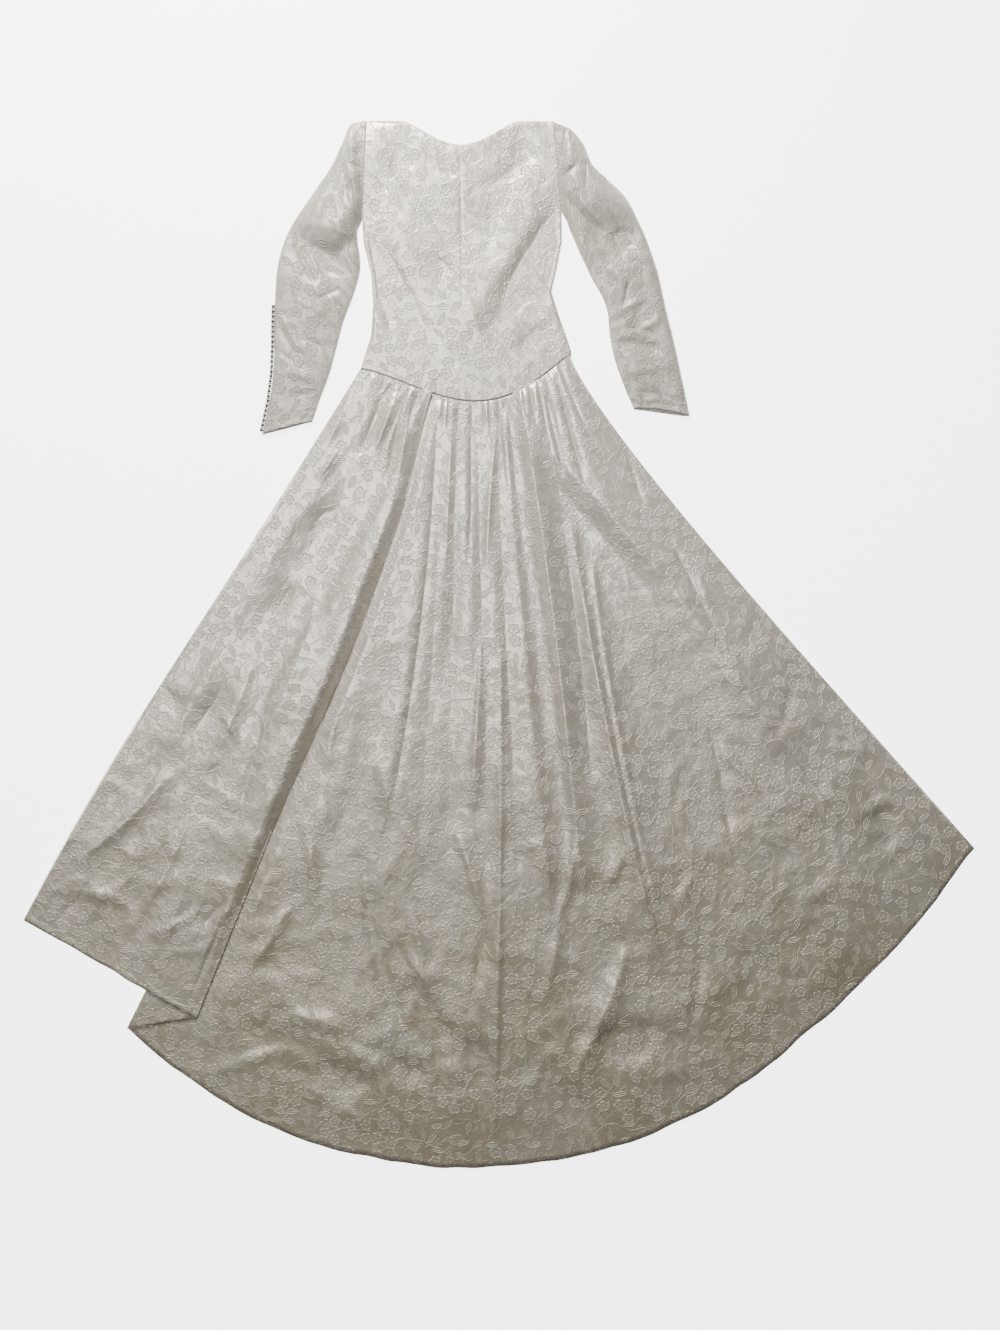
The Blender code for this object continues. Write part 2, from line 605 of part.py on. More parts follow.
def build_buttons(side, table, outwards, finish):
    """A row of small cloth-covered domes along the outer seam."""
    for number in range(BUTTONS):
        edge, outward = outer_edge(table, BUTTON_FIRST + number * BUTTON_PITCH)
        centre = edge + outward * outwards
        shape = bmesh.new()
        bmesh.ops.create_uvsphere(shape, u_segments=BUTTON_SIDES, v_segments=4, radius=1.0)
        for vertex in shape.verts:
            vertex.co = Vector((*(BUTTON_RADIUS * vertex.co.xy), BUTTON_HEIGHT / 2 * vertex.co.z))
        name = f"button_{side}_{number + 1:02d}"
        mesh = bpy.data.meshes.new(name)
        shape.to_mesh(mesh)
        shape.free()
        mesh.shade_smooth()
        button = bpy.data.objects.new(name, mesh)
        button.location = (centre.x, centre.y, LAYER_GAP + BUTTON_HEIGHT / 2)
        bpy.context.scene.collection.objects.link(button)
        mesh.materials.append(finish)


def main():
    """Clear the scene and build each piece of the dress."""
    for old in list(bpy.data.objects):
        bpy.data.objects.remove(old)
    brocade = material("brocade", BROCADE, 0.55)
    covered = material("button_satin", SATIN, 0.45)
    build_skirt_front(brocade)
    build_skirt_back(brocade)
    build_bodice(brocade, brocade)
    build_sleeve("left", LEFT_SLEEVE, False, brocade)
    build_sleeve("right", RIGHT_SLEEVE, True, brocade)
    build_buttons("left", LEFT_SLEEVE, BUTTON_BESIDE_EDGE, covered)
    build_buttons("right", RIGHT_SLEEVE, BUTTON_UNDER_EDGE, covered)


main()
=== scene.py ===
"""Looks of the laid wedding dress: brocade panels, sleeves, covered buttons, floor, light and camera.

Everything is in metres in the frame's axes: +Y towards the neck, +X to the right as seen from above, +Z up.
"""

import logging
import math
from dataclasses import dataclass
from enum import Enum
from typing import Sequence

import bmesh
import bpy
import numpy as np
from mathutils import Matrix, Vector


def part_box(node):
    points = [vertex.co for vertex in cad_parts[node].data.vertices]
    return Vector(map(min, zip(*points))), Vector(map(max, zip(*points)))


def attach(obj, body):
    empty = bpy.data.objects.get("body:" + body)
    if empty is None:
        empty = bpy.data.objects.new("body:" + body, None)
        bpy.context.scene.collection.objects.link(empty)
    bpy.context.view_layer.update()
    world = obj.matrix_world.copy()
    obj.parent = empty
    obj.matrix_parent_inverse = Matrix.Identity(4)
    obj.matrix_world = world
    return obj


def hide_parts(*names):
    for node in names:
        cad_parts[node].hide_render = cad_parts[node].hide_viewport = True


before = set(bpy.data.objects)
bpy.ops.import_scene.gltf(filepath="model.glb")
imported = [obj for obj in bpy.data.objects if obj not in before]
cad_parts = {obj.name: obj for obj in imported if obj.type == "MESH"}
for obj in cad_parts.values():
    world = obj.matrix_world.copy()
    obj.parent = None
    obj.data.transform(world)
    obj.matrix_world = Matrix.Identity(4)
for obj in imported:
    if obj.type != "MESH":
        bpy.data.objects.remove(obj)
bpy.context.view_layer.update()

logging.basicConfig(level=logging.INFO, format="%(levelname)s %(message)s")
LOG = logging.getLogger("wedding_dress")

Array = np.ndarray
Pair = tuple[float, float]
Colour = tuple[float, float, float]
ROOT = "root"
UV_NAME = "cloth"
CLOTH_WALL = 0.0012
MILLIMETRES = 1000
NOISE_CELLS = 64
NOISE_GAIN = 1.5
CREST_FALL = 2.6
CREST_POWER = 1.5
CREASE_GAIN = 1.45
CREASE_TAPER = (0.10, 0.90)
CREASE_TAPER_POWER = 0.8
FULL_TURN = 6.2832


class Slot(Enum):
    """Finish slots."""

    BROCADE = "brocade"
    BUTTON = "button_satin"


class Layer(Enum):
    """The two large sheets of the skirt's back."""

    TOP = "top"
    TRAIN = "train"


class Side(Enum):
    """Sides of the dress, as seen from above."""

    LEFT = "left"
    RIGHT = "right"


# Numbers and noise


def mix(low: Array | float, high: Array | float, share: Array | float) -> Array:
    """Return the value at share of the way from low to high."""
    return low + (high - low) * share


def ease(low: float, high: Array | float, value: Array | float) -> Array:
    """Return 0 below low, 1 above high, and a smooth step between them."""
    share = np.clip((value - low) / (high - low), 0.0, 1.0)
    return share * share * (3 - 2 * share)


def quintic(share: Array) -> Array:
    """Return a smooth step from 0 to 1 whose ends have no bend."""
    return share**3 * (share * (share * 6 - 15) + 10)


def bell(distance: Array, reach: Array | float) -> Array:
    """Return 1 at no distance, with a soft fall to nothing past the reach."""
    return np.exp(-((distance / reach) ** 2))


def quarter_round(share: Array) -> Array:
    """Return a quick rise from 0 that is level at 1 and past it."""
    return np.sin(np.clip(share, 0.0, 1.0) * math.pi / 2)


def square_to(run: Array) -> Array:
    """Return the unit vector that is square to run in plan, on its left."""
    return np.array((-run[1], run[0])) / np.hypot(*run)


def perlin(u: Array, v: Array, seed: int) -> Array:
    """Smooth noise.

    Args:
        u: First coordinate, in cells.
        v: Second coordinate, in cells.
        seed: Number that picks the noise.

    Returns:
        Noise from about -1 to 1, of the same shape as u.
    """
    angles = np.random.default_rng(seed).random((NOISE_CELLS, NOISE_CELLS)) * 2 * math.pi
    iu, iv = np.floor(u).astype(int), np.floor(v).astype(int)
    fu, fv = u - iu, v - iv

    def corner(du: int, dv: int) -> Array:
        """Part of the noise that one corner of the cell gives."""
        angle = angles[(iu + du) % NOISE_CELLS, (iv + dv) % NOISE_CELLS]
        return np.cos(angle) * (fu - du) + np.sin(angle) * (fv - dv)

    low = mix(corner(0, 0), corner(1, 0), quintic(fu))
    high = mix(corner(0, 1), corner(1, 1), quintic(fu))
    return NOISE_GAIN * mix(low, high, quintic(fv))


def ridges(u: Array, v: Array, seed: int) -> Array:
    """Return noise from 0 to 1 whose tops are narrow, wandering crests."""
    return np.clip(1 - CREST_FALL * np.abs(perlin(u, v, seed)), 0.0, 1.0) ** CREST_POWER


def smooth_table(rows: Array, positions: Array) -> Array:
    """Smooth curve through the rows of a table.

    Args:
        rows: The table.
        positions: Fractional row numbers.

    Returns:
        A row for each position.
    """
    last = len(rows) - 1
    index = np.clip(positions.astype(int), 0, last - 1)
    part = (positions - index)[:, None]
    p0, p1 = rows[np.clip(index - 1, 0, last)], rows[index]
    p2, p3 = rows[index + 1], rows[np.clip(index + 2, 0, last)]
    cubic = 2 * p1 + (p2 - p0) * part + (2 * p0 - 5 * p1 + 4 * p2 - p3) * part**2
    return 0.5 * (cubic + (3 * p1 - p0 - 3 * p2 + p3) * part**3)


def straight_table(rows: Array, positions: Array) -> Array:
    """Rows of a table at fractional row numbers, in straight lines."""
    places = np.arange(len(rows))
    return np.stack([np.interp(positions, places, column) for column in rows.T], axis=-1)


def with_height(plan: Array, height: Array) -> Array:
    """Points from their plan and their height."""
    return np.concatenate((plan, height[..., None]), axis=-1)


# Creases


@dataclass(frozen=True)
class Crease:
    """One crease, ridge or valley that is pressed into a panel.

    Attributes:
        start: Plan of its first end.
        end: Plan of its last end.
        bend: Sideways bow of its middle, towards +X.
        high: Height of a ridge, below zero for a valley.
        left: Reach of its flank towards -X.
        right: Reach of its flank towards +X.
        power: 1.25 for a sharp crest and 2 for a soft one.
    """

    start: Pair
    end: Pair
    bend: float
    high: float
    left: float
    right: float
    power: float = 1.25

    def height(self, plan: Array) -> Array:
        """Height that the crease adds.

        Args:
            plan: Points in plan.

        Returns:
            Height at each point.
        """
        run = np.subtract(self.end, self.start)
        length = float(np.hypot(*run))
        along = run / length
        side = np.array((-along[1], along[0]))
        if side[0] < 0 or (abs(side[0]) < 1e-6 and side[1] < 0):
            side = -side
        offset = plan - np.array(self.start)
        share = offset @ along / length
        inside = np.clip(share, 0.0, 1.0)
        distance = offset @ side - self.bend * 4 * inside * (1 - inside)
        reach = np.where(distance < 0, self.left, self.right)
        taper = np.sin(math.pi * mix(*CREASE_TAPER, inside)) ** CREASE_TAPER_POWER
        taper = taper * bell(np.abs(share - inside) * length, 0.5 * (self.left + self.right))
        return self.high * CREASE_GAIN * taper * np.exp(-(np.abs(distance / reach) ** self.power))


def crease_height(creases: Sequence[Crease], plan: Array) -> Array:
    """Height that all the creases add.

    Args:
        creases: The creases.
        plan: Points in plan.

    Returns:
        Height at each point.
    """
    total = np.zeros(plan.shape[:-1])
    for crease in creases:
        total += crease.height(plan)
    return total


def creases_of(*rows: tuple[float, ...]) -> tuple[Crease, ...]:
    """Creases from rows of millimetres.

    Args:
        rows: X and y of both ends, bend, height, left and right reach, and the power where it isn't the usual one.

    Returns:
        The creases, in metres.
    """
    made = []
    for row in rows:
        start_x, start_y, end_x, end_y, *sizes = (value / MILLIMETRES for value in row[:8])
        made.append(Crease((start_x, start_y), (end_x, end_y), *sizes, *row[8:]))
    return tuple(made)


TRAIN_CREASES = creases_of(
    (-31, 9, -49, -279, 0, 5, 5, 16),
    (4, -9, -11, -936, 5, 3.6, 12, 5),
    (40, 448, 146, -409, 7, 12.5, 11, 32),
    (124, 153, 164, -225, 4, -5.5, 18, 14),
    (133, 198, 283, -540, -9, 9, 30, 7),
    (50, 330, 250, 110, 10, -4.5, 26, 24),
    (229, -355, 189, -437, 4, 4, 9, 8),
    (135, -344, 113, -473, 5, 4.2, 8, 8),
    (225, -560, 140, -761, 5, 8, 11, 17),
    (-76, -337, -34, -473, 4, 4.4, 7, 11),
    (-158, -473, -137, -563, 0, 3.2, 6, 8),
    (-160, -570, -125, -612, 2, 4.4, 13, 14),
    (-347, -319, -331, -448, 4, 4.8, 10, 6),
    (-385, -482, -461, -592, 5, 5, 8, 9),
    (-569, -778, -398, -727, 7, 7, 11, 9),
    (-358, -668, -272, -700, 4, 4.4, 6, 8),
    (-277, -718, -200, -758, -4, 4.2, 6, 7),
    (-182, -540, -104, -810, 14, -4.4, 10, 10),
    (-112, 398, -238, -488, 23, -2.4, 6, 9),
    (-232, -504, -131, -787, -7, -3.2, 9, 9),
    (301, 196, 405, -20, 4, -3.4, 8, 9),
    (490, -153, 653, -369, -5, -3.4, 7, 10),
    (531, -70, 495, -160, 2, -3.2, 8, 8),
    (378, -142, 423, -394, 2, -2.6, 5, 7),
    (405, -194, 466, -265, 0, 4.2, 5, 7),
    (603, -189, 668, -189, 2, 4.2, 6, 6),
    (639, -302, 700, -274, 2, 4.4, 7, 8),
    (229, 351, 257, 254, 0, -3.2, 7, 8),
    (493, -653, 472, -747, 2, -4.4, 9, 10),
    (27, -362, 130, -347, 0, 1.8, 3, 4),
    (265, -398, 362, -387, 2, 2, 5, 5),
    (344, -423, 311, -468, 2, 3.4, 7, 7),
    (542, -459, 610, -423, 4, 3.6, 8, 9),
    (362, -567, 344, -693, 4, -3, 10, 10),
    (686, -387, 731, -342, 4, 3.4, 9, 9),
    (110, -468, 88, -612, 4, 3, 10, 9),
    (254, -783, 362, -747, 4, 3.6, 8, 9),
    (-358, -792, -232, -855, -4, 4, 9, 10),
    (2, -459, -52, -657, -7, -2.6, 9, 10),
    (-457, -423, -427, -468, 0, 3.4, 6, 7),
    (-293, -99, -304, -207, 0, 2.6, 12, 8),
    (-52, 387, -58, 126, 4, -2.4, 6, 6),
    (-5, 387, -22, 153, -2, 3, 6, 5),
    (-85, 391, -95, 153, 0, 2.8, 8, 6),
    (83, 445, 115, 315, 0, -4, 6, 6),
    (104, 481, 153, 286, 0, -4.6, 6, 8),
    (137, 491, 254, 315, 4, -3.4, 7, 9),
    (40, 395, 270, 150, 8, 9, 30, 45),
    (190, 245, 490, -160, 12, 8, 34, 55),
    (398, -45, 640, -340, 6, 5.2, 24, 40),
    (14, 452, 6, 405, 0, -4.6, 10, 10),
    (-450, -690, -385, -715, 0, -6, 38, 14, 1.6),
    (-210, -735, -140, -770, 0, -6.2, 42, 16, 1.6),
    (-50, -700, -5, -770, 0, -5, 36, 14, 1.6),
    (160, -705, 290, -690, 4, -6.2, 16, 48, 1.6),
    (120, -800, 165, -850, 0, -4.6, 30, 13, 1.6),
    (675, -290, 725, -370, 0, -6.6, 50, 20, 1.6),
    (75, -355, 92, -425, 0, 4, 14, 13),
    (-215, -200, -195, -290, 0, 3.4, 19, 17),
    (-310, -260, -350, -420, 5, 3.6, 20, 16),
    (560, -620, 640, -520, 6, 3.8, 26, 22),
    (170, 125, 292, -500, -10, 3.4, 6, 5),
    (-245, -380, -180, -670, -12, -4, 11, 13),
    (-150, -640, -60, -730, 0, -5.6, 55, 18, 1.7),
    (-330, -740, -240, -790, 0, -5, 50, 16, 1.7),
    (440, -560, 520, -610, 0, -4.4, 50, 18, 1.7),
)

GORE_CREASES = creases_of(
    (-225, 419, -632, -283, -27, 2.8, 10, 34),
    (-290, 247, -461, -13, -4, -1.2, 17, 15),
    (-194, 473, -247, 352, 0, -8, 10, 12),
    (-185, 448, -218, 358, 0, 4, 6, 6),
    (-293, 344, -320, 302, 0, 3.6, 4, 6),
    (-598, -239, -747, -380, 7, 5.4, 13, 13),
    (-495, -124, -468, -171, 2, 4, 5, 5),
    (-500, -506, -563, -657, 0, -3.4, 4, 5),
    (-556, -315, -664, -513, 7, 4, 14, 12),
    (-427, 9, -513, -207, 5, 3.2, 16, 14),
    (-682, -459, -790, -441, 5, 3.4, 9, 11),
    (-416, -99, -473, -315, 5, -3, 14, 14),
    (-733, -423, -805, -504, 4, -3.4, 9, 9),
    (-160, 434, -178, 315, 0, 4, 7, 6),
    (-175, 441, -200, 293, 0, -4.4, 5, 7),
    (-265, 455, -304, 369, 0, 3.4, 7, 7),
    (-300, 240, -330, 212, 0, -5.2, 14, 13),
    (-370, 110, -400, 60, 0, -4, 16, 13),
    (-500, -85, -540, -145, 0, -4.4, 15, 14),
    (-610, -70, -570, -115, 0, -3.6, 13, 13),
    (-495, -465, -530, -505, 0, -4.8, 14, 13),
    (-560, -420, -610, -540, 4, 4.2, 26, 24),
    (-315, 130, -420, -170, 10, 4.6, 34, 22),
)

BODICE_CREASES = creases_of(
    (140, 832, -6, 580, -6, -6.6, 22, 75, 1.7),
    (90, 693, 22, 560, 0, 0.8, 12, 12, 1.8),
    (95, 578, 28, 526, 0, -3.4, 15, 45, 1.7),
    (85, 529, 36, 490, 0, 1.2, 10, 10, 1.8),
    (-226, 738, -132, 556, -4, -7, 45, 18, 1.7),
    (-106, 855, -77, 841, 0, -1.6, 6, 7),
    (-30, 822, 34, 860, 4, -2.4, 12, 45, 1.8),
    (-110, 693, -83, 668, 0, -1.8, 10, 10),
    (-144, 805, -92, 720, 2, -1.8, 9, 11),
    (-16, 796, -13, 729, 0, -2, 13, 13),
    (22, 920, 68, 869, 0, -1.4, 11, 12),
    (-193, 859, -157, 801, 0, -1.8, 5, 6),
    (-220, 842, -203, 815, 0, -2.6, 3, 4),
    (74, 826, 110, 851, 0, -2.4, 4, 5),
    (-207, 653, -193, 549, 0, -2.2, 8, 8),
    (-178, 491, -106, 472, 4, 1.6, 6, 6),
    (-52, 603, -23, 531, 0, 1.6, 12, 12),
    (-70, 895, -66, 612, 0, -0.8, 3, 3),
    (98, 800, -50, 585, -6, 2.6, 34, 20, 1.8),
    (-200, 760, -100, 610, 0, 2.2, 22, 30, 1.8),
    (-150, 710, -80, 665, 0, -3.4, 50, 18, 1.8),
    (-60, 790, -20, 730, 0, -2, 50, 22, 1.8),
    (20, 905, 70, 870, 0, -3, 55, 18, 1.8),
    (-200, 900, -150, 860, 0, -2.8, 50, 18, 1.8),
)

LEFT_SLEEVE_CREASES = creases_of(
    (-234, 806, -292, 736, -4, 5.6, 22, 30, 1.8),
    (-368, 784, -298, 732, 0, 5, 30, 22, 1.8),
    (-360, 704, -331, 650, 0, -3.6, 4, 4),
    (-342, 709, -320, 662, 0, 3.2, 5, 4),
    (-261, 884, -238, 864, 0, -3.4, 3, 4),
    (-277, 857, -254, 806, -4, -4, 4, 4),
    (-265, 862, -241, 850, 0, -3.6, 4, 4),
    (-401, 587, -364, 518, -2, -2.4, 3, 4),
    (-391, 592, -353, 527, -2, 2.4, 4, 4),
    (-401, 531, -371, 509, 0, -2.6, 3, 3),
    (-385, 621, -304, 589, 4, 2.2, 7, 8),
    (-358, 549, -301, 527, 2, -2.2, 6, 6),
    (-385, 491, -322, 470, 2, 2.2, 6, 7),
    (-367, 450, -326, 457, 2, -2, 4, 5),
    (-304, 783, -347, 736, 0, -2.6, 7, 7),
    (-286, 639, -326, 621, 0, -2.4, 5, 6),
    (-248, 740, -302, 684, 0, -6.2, 20, 22, 1.8),
    (-362, 732, -300, 682, 0, -5.6, 22, 20, 1.8),
    (-300, 790, -336, 776, 0, 3, 32, 34, 1.8),
)

RIGHT_SLEEVE_CREASES = creases_of(
    (150, 826, 262, 768, -4, 6, 32, 22, 1.8),
    (122, 803, 193, 733, -4, -3.4, 7, 8),
    (137, 808, 203, 740, -4, 2.2, 6, 6),
    (153, 729, 185, 713, 0, -4.2, 7, 7),
    (121, 932, 110, 853, 0, -3.6, 3, 4),
    (131, 927, 130, 905, 0, -3, 3, 3),
    (142, 913, 140, 884, 0, -2.8, 3, 3),
    (157, 877, 155, 817, 0, -3.6, 3, 3),
    (108, 835, 137, 857, 0, -4.2, 5, 5),
    (232, 652, 223, 607, 0, -3.2, 3, 4),
    (211, 545, 315, 517, 2, -3.2, 5, 6),
    (254, 565, 297, 592, 0, 3, 5, 6),
    (203, 589, 254, 621, 0, 2.4, 6, 7),
    (221, 491, 304, 502, 2, 2.2, 6, 7),
    (243, 455, 304, 448, 0, -2.2, 4, 5),
    (236, 689, 272, 679, 0, -2.4, 5, 5),
    (182, 689, 214, 657, 0, 2.6, 6, 6),
    (232, 571, 301, 549, 2, -2.4, 4, 5),
    (256, 452, 262, 430, 0, -3.6, 2, 2),
    (330, 454, 336, 420, 0, -3.4, 2, 2),
    (158, 768, 254, 712, 0, -6, 20, 22, 1.8),
    (150, 745, 190, 722, 0, -4.4, 10, 12),
    (225, 548, 290, 535, 0, -5.2, 11, 12),
    (200, 830, 225, 815, 0, 2.4, 22, 24, 1.8),
)


# Shader maths


class Value:
    """A shader socket that can be used in Python expressions."""

    def __init__(self, shader: "Shader", socket: bpy.types.NodeSocket) -> None:
        """Keep the node tree's helper and the socket."""
        self.shader = shader
        self.socket = socket

    def math(self, operation: str, *others: "Value | float") -> "Value":
        """Math node of this value and up to two others."""
        inputs = {0: self, **dict(enumerate(others, 1))}
        return self.shader.node("ShaderNodeMath", {"operation": operation}, inputs)[0]

    def __add__(self, other: "Value | float") -> "Value":
        """Sum."""
        return self.math("ADD", other)

    __radd__ = __add__

    def __mul__(self, other: "Value | float") -> "Value":
        """Product."""
        return self.math("MULTIPLY", other)

    __rmul__ = __mul__

    def __sub__(self, other: "Value | float") -> "Value":
        """Difference."""
        return self.math("SUBTRACT", other)

    def __rsub__(self, other: float) -> "Value":
        """Difference from a number."""
        return (self * -1.0) + other

    def __truediv__(self, other: "Value | float") -> "Value":
        """Quotient."""
        return self.math("DIVIDE", other)

    def __pow__(self, other: float) -> "Value":
        """Power."""
        return self.math("POWER", other)

    def __abs__(self) -> "Value":
        """Absolute value."""
        return self.math("ABSOLUTE")

    def most(self, other: "Value | float") -> "Value":
        """Larger of the two."""
        return self.math("MAXIMUM", other)

    def step(self, low: float, high: float) -> "Value":
        """Smooth step from 0 at low to 1 at high."""
        inputs = {"Value": self, "From Min": low, "From Max": high}
        return self.shader.node("ShaderNodeMapRange", {"interpolation_type": "SMOOTHSTEP"}, inputs)[0]

    def below(self, low: float, high: float) -> "Value":
        """Smooth step from 1 at low to 0 at high."""
        return 1.0 - self.step(low, high)


class Nodes:
    """Outputs of a made node, as values."""

    def __init__(self, shader: "Shader", node: bpy.types.Node) -> None:
        """Keep the helper and the node."""
        self.shader = shader
        self.node = node

    def __getitem__(self, key: int | str) -> Value:
        """Output by number or name."""
        return Value(self.shader, self.node.outputs[key])


class Shader:
    """A material's node tree and the one method that adds nodes to it."""

    def __init__(self, name: str) -> None:
        """Start a Principled material.

        Args:
            name: Name of the material.
        """
        self.material = bpy.data.materials.new(name)
        self.material.use_nodes = True
        self.tree = self.material.node_tree
        self.principled = self.tree.nodes["Principled BSDF"]

    def node(self, kind: str, settings: dict | None = None, inputs: dict | None = None) -> Nodes:
        """Add a node.

        Args:
            kind: Its type.
            settings: Properties that are set first.
            inputs: Values or links of its sockets, by name or number.

        Returns:
            The node's outputs.
        """
        made = self.tree.nodes.new(kind)
        for key, value in (settings or {}).items():
            setattr(made, key, value)
        for key, value in (inputs or {}).items():
            if isinstance(value, Value):
                self.tree.links.new(value.socket, made.inputs[key])
            else:
                made.inputs[key].default_value = value
        return Nodes(self, made)

    def cloth_noise(self, place: Value, scale: float, detail: float) -> Nodes:
        """Noise in the plane of the cloth."""
        inputs = {"Vector": place, "Scale": scale, "Detail": detail}
        return self.node("ShaderNodeTexNoise", {"noise_dimensions": "2D"}, inputs)

    def blend(self, share: Value, low: Colour | Value, high: Colour | Value, kind: str = "MIX") -> Value:
        """Mix of two colours.

        Args:
            share: Share of the second one.
            low: First colour.
            high: Second colour.
            kind: How they are mixed.

        Returns:
            The mixed colour.
        """
        ends = {6: low, 7: high}
        ends = {key: colour if isinstance(colour, Value) else (*colour, 1.0) for key, colour in ends.items()}
        return self.node("ShaderNodeMix", {"data_type": "RGBA", "blend_type": kind}, {0: share, **ends})[2]

    def bump(self, strength: float, high: Value) -> None:
        """Feed the shader's normal from a height in metres."""
        inputs = {"Strength": strength, "Distance": 1.0, "Height": high}
        self.feed("Normal", self.node("ShaderNodeBump", {}, inputs)["Normal"])

    def feed(self, name: str, value: "Value | float | tuple") -> None:
        """Link or set a socket of the Principled shader.

        Args:
            name: Name of the socket.
            value: Link, number or colour.
        """
        if isinstance(value, Value):
            self.tree.links.new(value.socket, self.principled.inputs[name])
        else:
            self.principled.inputs[name].default_value = value


@dataclass(frozen=True)
class Brocade:
    """Ivory satin brocade with tone-on-tone flowers and leaves.

    Attributes:
        ground: Colour of the satin ground.
        figure: Colour of the matt figure.
        shaded: Colour of the matt figure near the neck, painted darker there as shade beside the satin ground that
            mirrors the lamps.
        aged_and_hem_shade: Colour of random darker, yellower patches, and of the painted shade that darkens the
            cloth towards the hem.
        rosy: Tint of the patches that are a little pink.
        flower: Radius of a flower, in metres.
        flower_cell: Spacing of the flowers.
        petals: Number of a flower's petals.
        leaf: Half length and half width of a leaf.
        leaf_cell: Spacing of the leaves.
        cluster: Spacing of the flower clusters.
        flower_reach: Share of a cluster's spacing where its flowers end.
        leaf_start: Share of a cluster's spacing where the leaves begin.
        warp: Scale and size of the pattern's wandering.
        stem: Scale of the stems' noise, and half width of a stem at its edge and past it.
        scroll: Scale of the scrolls' noise, and half width of a scroll at its edge and past it.
        line_share: Strength of the stems' and the scrolls' outlines.
        hem_shade_from: Y where the painted shade towards the hem is full and where it ends.
        near_from: Where the outlines turn from light to dark towards the neck, where the figure's painted shade
            begins.
        relief: Height of the figure's outlines.
        fill_relief: Share of that height that the inside of a figure has.
        waves: Scale and height of the cloth's soft waves, crinkles and threads.
        gloss: Share of the ground's light that its satin threads mirror.
        duller: Share of that gloss that the fill and the outline of a figure lose.
        rough: Roughness of the ground.
        rougher: Roughness that the fill and the outline of a figure add.
    """

    ground: Colour = (0.622, 0.588, 0.512)
    figure: Colour = (0.690, 0.660, 0.595)
    shaded: Colour = (0.470, 0.445, 0.400)
    aged_and_hem_shade: Colour = (0.420, 0.378, 0.268)
    rosy: Colour = (1.0, 0.968, 0.965)
    flower: float = 0.0118
    flower_cell: float = 0.0262
    petals: int = 5
    leaf: Pair = (0.0128, 0.0054)
    leaf_cell: float = 0.0265
    cluster: float = 0.108
    flower_reach: float = 0.39
    leaf_start: float = 0.33
    warp: Pair = (9.0, 0.02)
    stem: tuple[float, float, float] = (16.0, 0.004, 0.018)
    scroll: tuple[float, float, float] = (48.0, 0.012, 0.040)
    line_share: Pair = (0.7, 0.45)
    hem_shade_from: Pair = (-0.85, 0.38)
    near_from: Pair = (-0.25, 0.20)
    relief: float = 0.00044
    fill_relief: float = 0.4
    waves: tuple[Pair, ...] = ((38.0, 0.0013), (130.0, 0.00035), (900.0, 0.00005))
    gloss: float = 0.45
    duller: Pair = (0.18, 0.26)
    rough: float = 0.34
    rougher: Pair = (0.10, 0.16)

    def local(self, shader: Shader, place: Value, cell: float, loose: float) -> tuple[Value, Value, Value, Value]:
        """Coordinates in a field of scattered cells.

        Args:
            shader: The material's helper.
            place: Place on the cloth.
            cell: Spacing of the cells.
            loose: How unevenly they are scattered, from 0 to 1.

        Returns:
            X and y from the nearest centre, that cell's random number, and how far its cluster's heart is.
        """
        settings = {"voronoi_dimensions": "2D", "feature": "F1"}
        inputs = {"Vector": place, "Scale": 1 / cell, "Randomness": loose}
        cells = shader.node("ShaderNodeTexVoronoi", settings, inputs)
        centre = cells["Position"]
        away = shader.node("ShaderNodeVectorMath", {"operation": "SUBTRACT"}, {0: place, 1: centre})
        parts = shader.node("ShaderNodeSeparateXYZ", None, {0: away[0]})
        chance = shader.node("ShaderNodeSeparateColor", None, {0: cells["Color"]})
        heart = {"Vector": centre, "Scale": 1 / self.cluster, "Randomness": 0.6}
        from_heart = shader.node("ShaderNodeTexVoronoi", settings, heart)["Distance"]
        return parts[0], parts[1], chance[0], from_heart

    def flowers(self, shader: Shader, place: Value) -> tuple[Value, Value]:
        """Flowers in clusters.

        Args:
            shader: The material's helper.
            place: Place on the cloth.

        Returns:
            Their fill and their outline.
        """
        x, y, chance, from_heart = self.local(shader, place, self.flower_cell, 0.45)
        angle = y.math("ARCTAN2", x) + chance * FULL_TURN
        petal = abs((angle * (self.petals / 2)).math("COSINE")) ** 0.55
        radius = (x * x + y * y).math("SQRT") / ((petal * 0.48 + 0.52) * self.flower)
        chosen = from_heart.below(self.flower_reach, self.flower_reach + 0.01)
        fill = radius.below(0.86, 0.94) * chosen
        rim = radius.step(0.58, 0.76) * radius.below(0.86, 1.02) * chosen
        eye = radius.below(0.22, 0.30) * radius.step(0.10, 0.15) * chosen
        return fill, rim.most(eye)

    def leaves(self, shader: Shader, place: Value) -> tuple[Value, Value]:
        """Lens-shaped leaves between the clusters.

        Args:
            shader: The material's helper.
            place: Place on the cloth.

        Returns:
            Their fill and their outline, with the vein.
        """
        x, y, chance, from_heart = self.local(shader, place, self.leaf_cell, 0.6)
        turn = chance * FULL_TURN
        cosine, sine = turn.math("COSINE"), turn.math("SINE")
        along, across = x * cosine + y * sine, abs(y * cosine - x * sine)
        half_length, half_width = self.leaf
        half = (1.0 - (along / half_length) ** 2.0).most(0.02) * half_width
        edge = across / half
        inside = abs(along).below(half_length * 0.94, half_length)
        inside = inside * from_heart.step(self.leaf_start, self.leaf_start + 0.01)
        inside = inside * chance.math("GREATER_THAN", 0.06)
        fill = edge.below(0.84, 1.04) * inside
        vein = across.below(0.0004, 0.0010) * inside
        return fill, (edge.step(0.48, 0.74) * fill).most(vein * fill)

